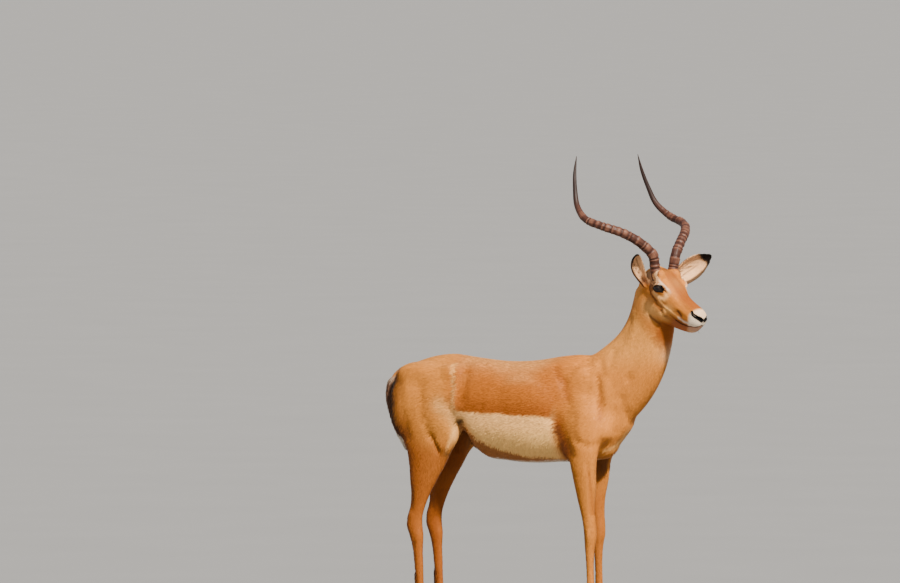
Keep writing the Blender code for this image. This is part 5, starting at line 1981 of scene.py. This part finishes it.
def grow(name, count, weight, shape, loose=0.0):
    """Scatters, shapes and builds tufts, in as many pieces as the limit of size asks for."""
    roots, normals, uv = scatter(count, weight)
    hairy = bare_share(roots) < 0.25
    roots, normals, uv = roots[hairy], normals[hairy], uv[hairy]
    length, width, lift = (size + np.zeros(len(roots)) for size in shape(roots, normals))
    length = length * rng.uniform(0.75, 1.25, len(roots))
    flow = hair_flow(roots, normals)
    grown = tufts(roots, normals, uv, flow, length, width, lift, loose)
    parts = math.ceil(len(roots) / PIECE_TUFTS)
    order = np.array_split(np.argsort(roots[:, 0], kind="stable"), parts)
    for k, chosen in enumerate(order):
        piece = coat_piece(f"{name}_{k + 1}", tuple(part[chosen] for part in grown))
        coat_pieces.append(piece)


# %% Hair of the trunk, neck and legs
mid_head = on_head(tri_middle)
mid_ears = on_ears(tri_middle)
mid_tail = on_tail(tri_middle)
mid_legs = step(tri_middle[:, 2], 0.52, 0.46) * (1 - mid_tail)
mid_neck = step(tri_middle[:, 0] + 0.6 * (tri_middle[:, 2] - 0.80), 0.36, 0.40)
mid_neck = mid_neck * (1 - mid_head) * (1 - mid_ears)
mid_trunk = (1 - mid_head) * (1 - mid_ears) * (1 - mid_tail) * (1 - mid_legs) * (1 - mid_neck)


def trunk_hair(roots, normals):
    under = step(normals[:, 2], -0.3, -0.8)
    length = 0.0135 + 0.005 * under
    return length, 0.0016, 0.0008 + 0.0006 * under


def leg_hair(roots, normals):
    behind = step(-normals[:, 0], 0.4, 0.9)
    small = step(roots[:, 2], 0.40, 0.10)
    length = 0.0095 - 0.003 * small + 0.003 * behind
    return length, 0.0017 - 0.0004 * small, 0.0005 + 0.0005 * behind


def neck_hair(roots, normals):
    throat = step(normals[:, 0] - normals[:, 2], 0.8, 1.3)
    return 0.012 + 0.003 * throat, 0.0015, 0.0007 + 0.0006 * throat


grow("coat_trunk", 44_000, mid_trunk, trunk_hair)
grow("coat_neck", 15_500, mid_neck, neck_hair)
grow("coat_legs", 22_000, mid_legs, leg_hair)

# %% Hair of the head and the ears
def head_hair(roots, normals):
    local = head_places(roots)
    small = step(local[:, 0], 0.02, 0.13)
    near_eye = step(np.linalg.norm(local - EYE_CENTRE, axis=1), 0.034, 0.020)
    small = np.maximum(small, near_eye)
    return 0.0058 - 0.0032 * small, 0.0011 - 0.0004 * small, 0.00032 - 0.00012 * small


def ear_hair(roots, normals):
    inside = sum(inside_ear(roots, normals, s) * on_ear(roots, s, *EAR_START) for s in (1, -1))
    return 0.006 + 0.005 * inside, 0.0011, 0.0005 + 0.0006 * inside


grow("coat_head", 24_000, mid_head * (1 - mid_ears), head_hair)
grow("coat_ears", 14_000, mid_ears, ear_hair, loose=0.25)

# %% [markdown]
# Longer hair breaks the outline in a few places: the white bush of the tail, the black tufts of
# the scent glands above the hind feet, the edges of the buttocks and the midline of the belly.

# %% Tail, gland tufts, buttocks and belly line
def tail_hair(roots, normals):
    down = step(roots[:, 2], 0.76, 0.60)
    aside = np.abs(normals[:, 1])
    return 0.020 + 0.012 * down, 0.0022, 0.0022 + 0.003 * aside


def gland_hair(roots, normals):
    return 0.015, 0.0018, 0.0028


def edge_hair(roots, normals):
    return 0.017, 0.002, 0.0024


grow("coat_tail", 4_200, mid_tail, tail_hair, loose=0.35)
mid_folded = folded(tri_middle)
gland = strip(mid_folded, [(-0.266, 0.078, 0.160), (-0.262, 0.078, 0.108)], 0.016)
grow("coat_glands", 1_500, gland * (gland > 0.1) * (mid_legs > 0), gland_hair, loose=0.5)
buttock = strip(mid_folded, BUTTOCK_STRIPE, 0.018)
belly_line = step(np.abs(tri_middle[:, 1]), 0.030, 0.010) * mid_trunk
belly_line = belly_line * step(tri_middle[:, 2], 0.60, 0.56)
edges = buttock * (buttock > 0.1) + 0.6 * belly_line
grow("coat_edges", 3_200, edges * mid_trunk, edge_hair, loose=0.3)
print("tufts in all:", sum(len(p.data.polygons) for p in coat_pieces) // len(TUFT_FACES))

# %% [markdown]
# Lashes and whiskers are single hairs: slim spikes that bend and taper. The lashes stand along
# the upper lid, and the whiskers grow on the upper lip.

# %% Single hairs
def spike(start, way, bend, length, thick, sides=4, rings=6):
    """A curved tapering hair: points of all rings, then the faces that join them."""
    t = np.linspace(0, 1, rings)[:, None]
    line = start + (way * t + bend * t**2) * length
    side = unit(np.cross(way, bend + [0.013, 0.007, 0.011]))
    other = np.cross(way, side)
    turn = full_turn(sides)
    ring = np.cos(turn)[:, None] * side + np.sin(turn)[:, None] * other
    size = thick * (1 - 0.92 * t)
    points = (line[:, None, :] + size[:, None, :] * ring[None]).reshape(-1, 3)
    points = np.concatenate([points, line[:1], line[-1:]])
    return points, ring_faces(rings, sides)


def many_spikes(name, spikes, colour):
    points, faces, start = [], [], 0
    for some_points, some_faces in spikes:
        points.append(some_points)
        faces += [tuple(start + i for i in face) for face in some_faces]
        start += len(some_points)
    return finished(name, np.concatenate(points), faces, colour, HAIR_FINISH)


def eye_direction(across, above):
    """The unit direction from the eye's centre for these two angles."""
    flat = np.hypot(across, above)
    share = 2 * np.arctan(flat / 2)
    around = (across * EYE_FRONT + above * EYE_TOP) / max(flat, 1e-6)
    return math.cos(share) * EYE_LOOK + math.sin(share) * around


def to_world(local, s):
    return (local * [1, s, 1]) @ HEAD_TURN.T


# %% Eyelashes and whiskers
LASHES_PER_EYE, LASH_LENGTH, LASH_THICKNESS = 46, 0.0052, 0.00022
LASHES_FROM, LASHES_TO = BACK_CORNER * 0.86, FRONT_CORNER * 0.62
MOST_WHISKERS, WHISKER_LENGTH, WHISKER_THICKNESS = 26, 0.016, 0.00016
WHISKER_DROOP = np.array([0, 0, -0.35])

lashes = []
for s in (1, -1):
    for k in range(LASHES_PER_EYE):
        angle = LASHES_FROM + (LASHES_TO - LASHES_FROM) * k / (LASHES_PER_EYE - 1)
        upper, _ = lid_heights(np.array([angle]))
        out = eye_direction(angle, upper[0] + 0.10 + 0.02 * rng.normal())
        root = EYE_CENTRE + out * (EYE_R + 0.001)
        way = out * 0.75 + EYE_TOP * 0.10 + EYE_LOOK * 0.45 + EYE_FRONT * angle * 0.15
        way = unit(way + rng.normal(0, 0.08, 3))
        start = to_world(root, s) + np.array(BROW)
        length = LASH_LENGTH * rng.uniform(0.8, 1.15) * (1 - 0.35 * abs(angle))
        bend = to_world(-EYE_TOP * 0.45, s)
        lashes.append(spike(start, to_world(way, s), bend, length, LASH_THICKNESS))
lash_piece = many_spikes("eyelashes", lashes, paint(18, 13, 11))

whiskers = []
whisker_roots, whisker_normals, _ = scatter(400, mid_head)
for point, normal in zip(whisker_roots, whisker_normals):
    forward, aside, up = head_places(point[None])[0]
    on_muzzle = forward > 0.118 and up < -0.014 and aside > 0.008
    if on_muzzle and len(whiskers) < MOST_WHISKERS:
        way = unit(normal + 0.5 * np.array(NOSEWARDS) + rng.normal(0, 0.15, 3))
        length = WHISKER_LENGTH * rng.uniform(0.6, 1.2)
        whiskers.append(spike(point, way, WHISKER_DROOP, length, WHISKER_THICKNESS, rings=5))
whisker_piece = many_spikes("whiskers", whiskers, paint(60, 44, 34))
print("lashes:", len(lashes), "whiskers:", len(whiskers))

# %% [markdown]
# ## Into the imported frame
#
# All pieces move by the one shift that was found from the eyes. Then each is attached to the
# root body, and the imported solids that the new pieces cover are hidden.

# %% Place the pieces and hide the solids they cover
everything = [skin, lash_piece, whisker_piece, *coat_pieces, *eyeballs.values(), *horns.values()]
everything += list(hooves.values())
for piece in everything:
    piece.data.transform(Matrix.Translation(SHIFT))
    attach(piece, "root")

flesh = ["trunk", "neck", "head", "tail", "ear_left", "ear_right"]
for leg in ("foreleg", "hindleg"):
    for side in ("left", "right"):
        flesh += [f"{leg}_upper_{side}", f"{leg}_lower_{side}"]
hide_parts(*flesh)
for s, side in ((1, "left"), (-1, "right")):
    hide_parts(f"eye_{side}")
    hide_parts(f"horn_{side}")
for node, piece in hooves.items():
    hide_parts(node)
print("pieces:", len(everything), "replaced solids:", len(flesh) + 4 + len(hooves))

# %% [markdown]
# ## Floor, light and camera
#
# A very wide pale floor stands in for the studio. One broad warm sun from high in front of the
# animal models the muscles, and a pale sky fills the shadows. The camera stands far off with a
# long lens, a little above the ground, as somebody would watch a shy animal.

# %% Floor
FLOOR_RADIUS, FLOOR_CORNERS = 220.0, 96


def floor_material():
    made, tree, shader = base_material("pale_floor", 0.9, 0.1)
    tone = spread_out(tree, noise_node(tree, 2.0, 2.0), 0.22, 0.24)
    link(tree, tone, "Result", shader, "Base Color")
    return made


turn = full_turn(FLOOR_CORNERS)
rim = FLOOR_RADIUS * np.stack([np.cos(turn), np.sin(turn), np.zeros(FLOOR_CORNERS)], axis=1)
floor = new_object("floor", rim, [tuple(range(FLOOR_CORNERS))])
floor.data.materials.append(floor_material())
print("floor radius", FLOOR_RADIUS)

# %% Light
world = bpy.data.worlds.new("sky")
world.use_nodes = True
sky = world.node_tree.nodes["Background"]
sky.inputs["Color"].default_value = (0.86, 0.90, 1.0, 1)
sky.inputs["Strength"].default_value = 0.50
bpy.context.scene.world = world

AZIMUTH, ELEVATION = math.radians(25), math.radians(2.5)
level = math.cos(ELEVATION)
back = Vector((math.sin(AZIMUTH) * level, -math.cos(AZIMUTH) * level, math.sin(ELEVATION)))
right = Vector((math.cos(AZIMUTH), math.sin(AZIMUTH), 0))
up = back.cross(right).normalized()

lamp = bpy.data.lights.new("sun", "SUN")
lamp.energy, lamp.angle = 10.0, math.radians(4)
lamp.color = (1.0, 0.93, 0.82)
sun = bpy.data.objects.new("sun", lamp)
bpy.context.scene.collection.objects.link(sun)
towards_sun = back * 0.78 + right * 0.38 + Vector((0, 0, 0.82))
sun.rotation_euler = towards_sun.to_track_quat("Z", "Y").to_euler()
print("sun from", tuple(round(v, 2) for v in towards_sun))

# %% Camera
DISTANCE, LENS, SENSOR = 31.25, 400.0, 36.0
target = SHIFT - right * 0.156 + up * 1.055
camera_data = bpy.data.cameras.new("camera")
camera_data.lens, camera_data.sensor_width = LENS, SENSOR
camera_data.clip_end = 500
camera = bpy.data.objects.new("camera", camera_data)
bpy.context.scene.collection.objects.link(camera)
camera.location = target + back * DISTANCE
camera.rotation_euler = back.to_track_quat("Z", "Y").to_euler()
bpy.context.scene.camera = camera
print("camera at", tuple(round(v, 2) for v in camera.location))

# %% [markdown]
# The imported solids are still in the scene, inside the skin.

# %% Give the carried-over solids a finish
def plain_finish(name, colour, roughness):
    made, tree, shader = base_material(name, roughness, 0.3)
    grain = noise_node(tree, 60.0, 3.0)
    tone = tree.nodes.new("ShaderNodeMix")
    tone.data_type = "RGBA"
    tone.inputs["A"].default_value = (*(colour * 0.85), 1)
    tone.inputs["B"].default_value = (*(colour * 1.1), 1)
    link(tree, grain, "Fac", tone, "Factor")
    tree.links.new(tone.outputs["Result"], shader.inputs["Base Color"])
    return made


hidden = plain_finish("hidden_solid", TAN, 0.7)
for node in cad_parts.values():
    node.data.materials.clear()
    node.data.materials.append(hidden)
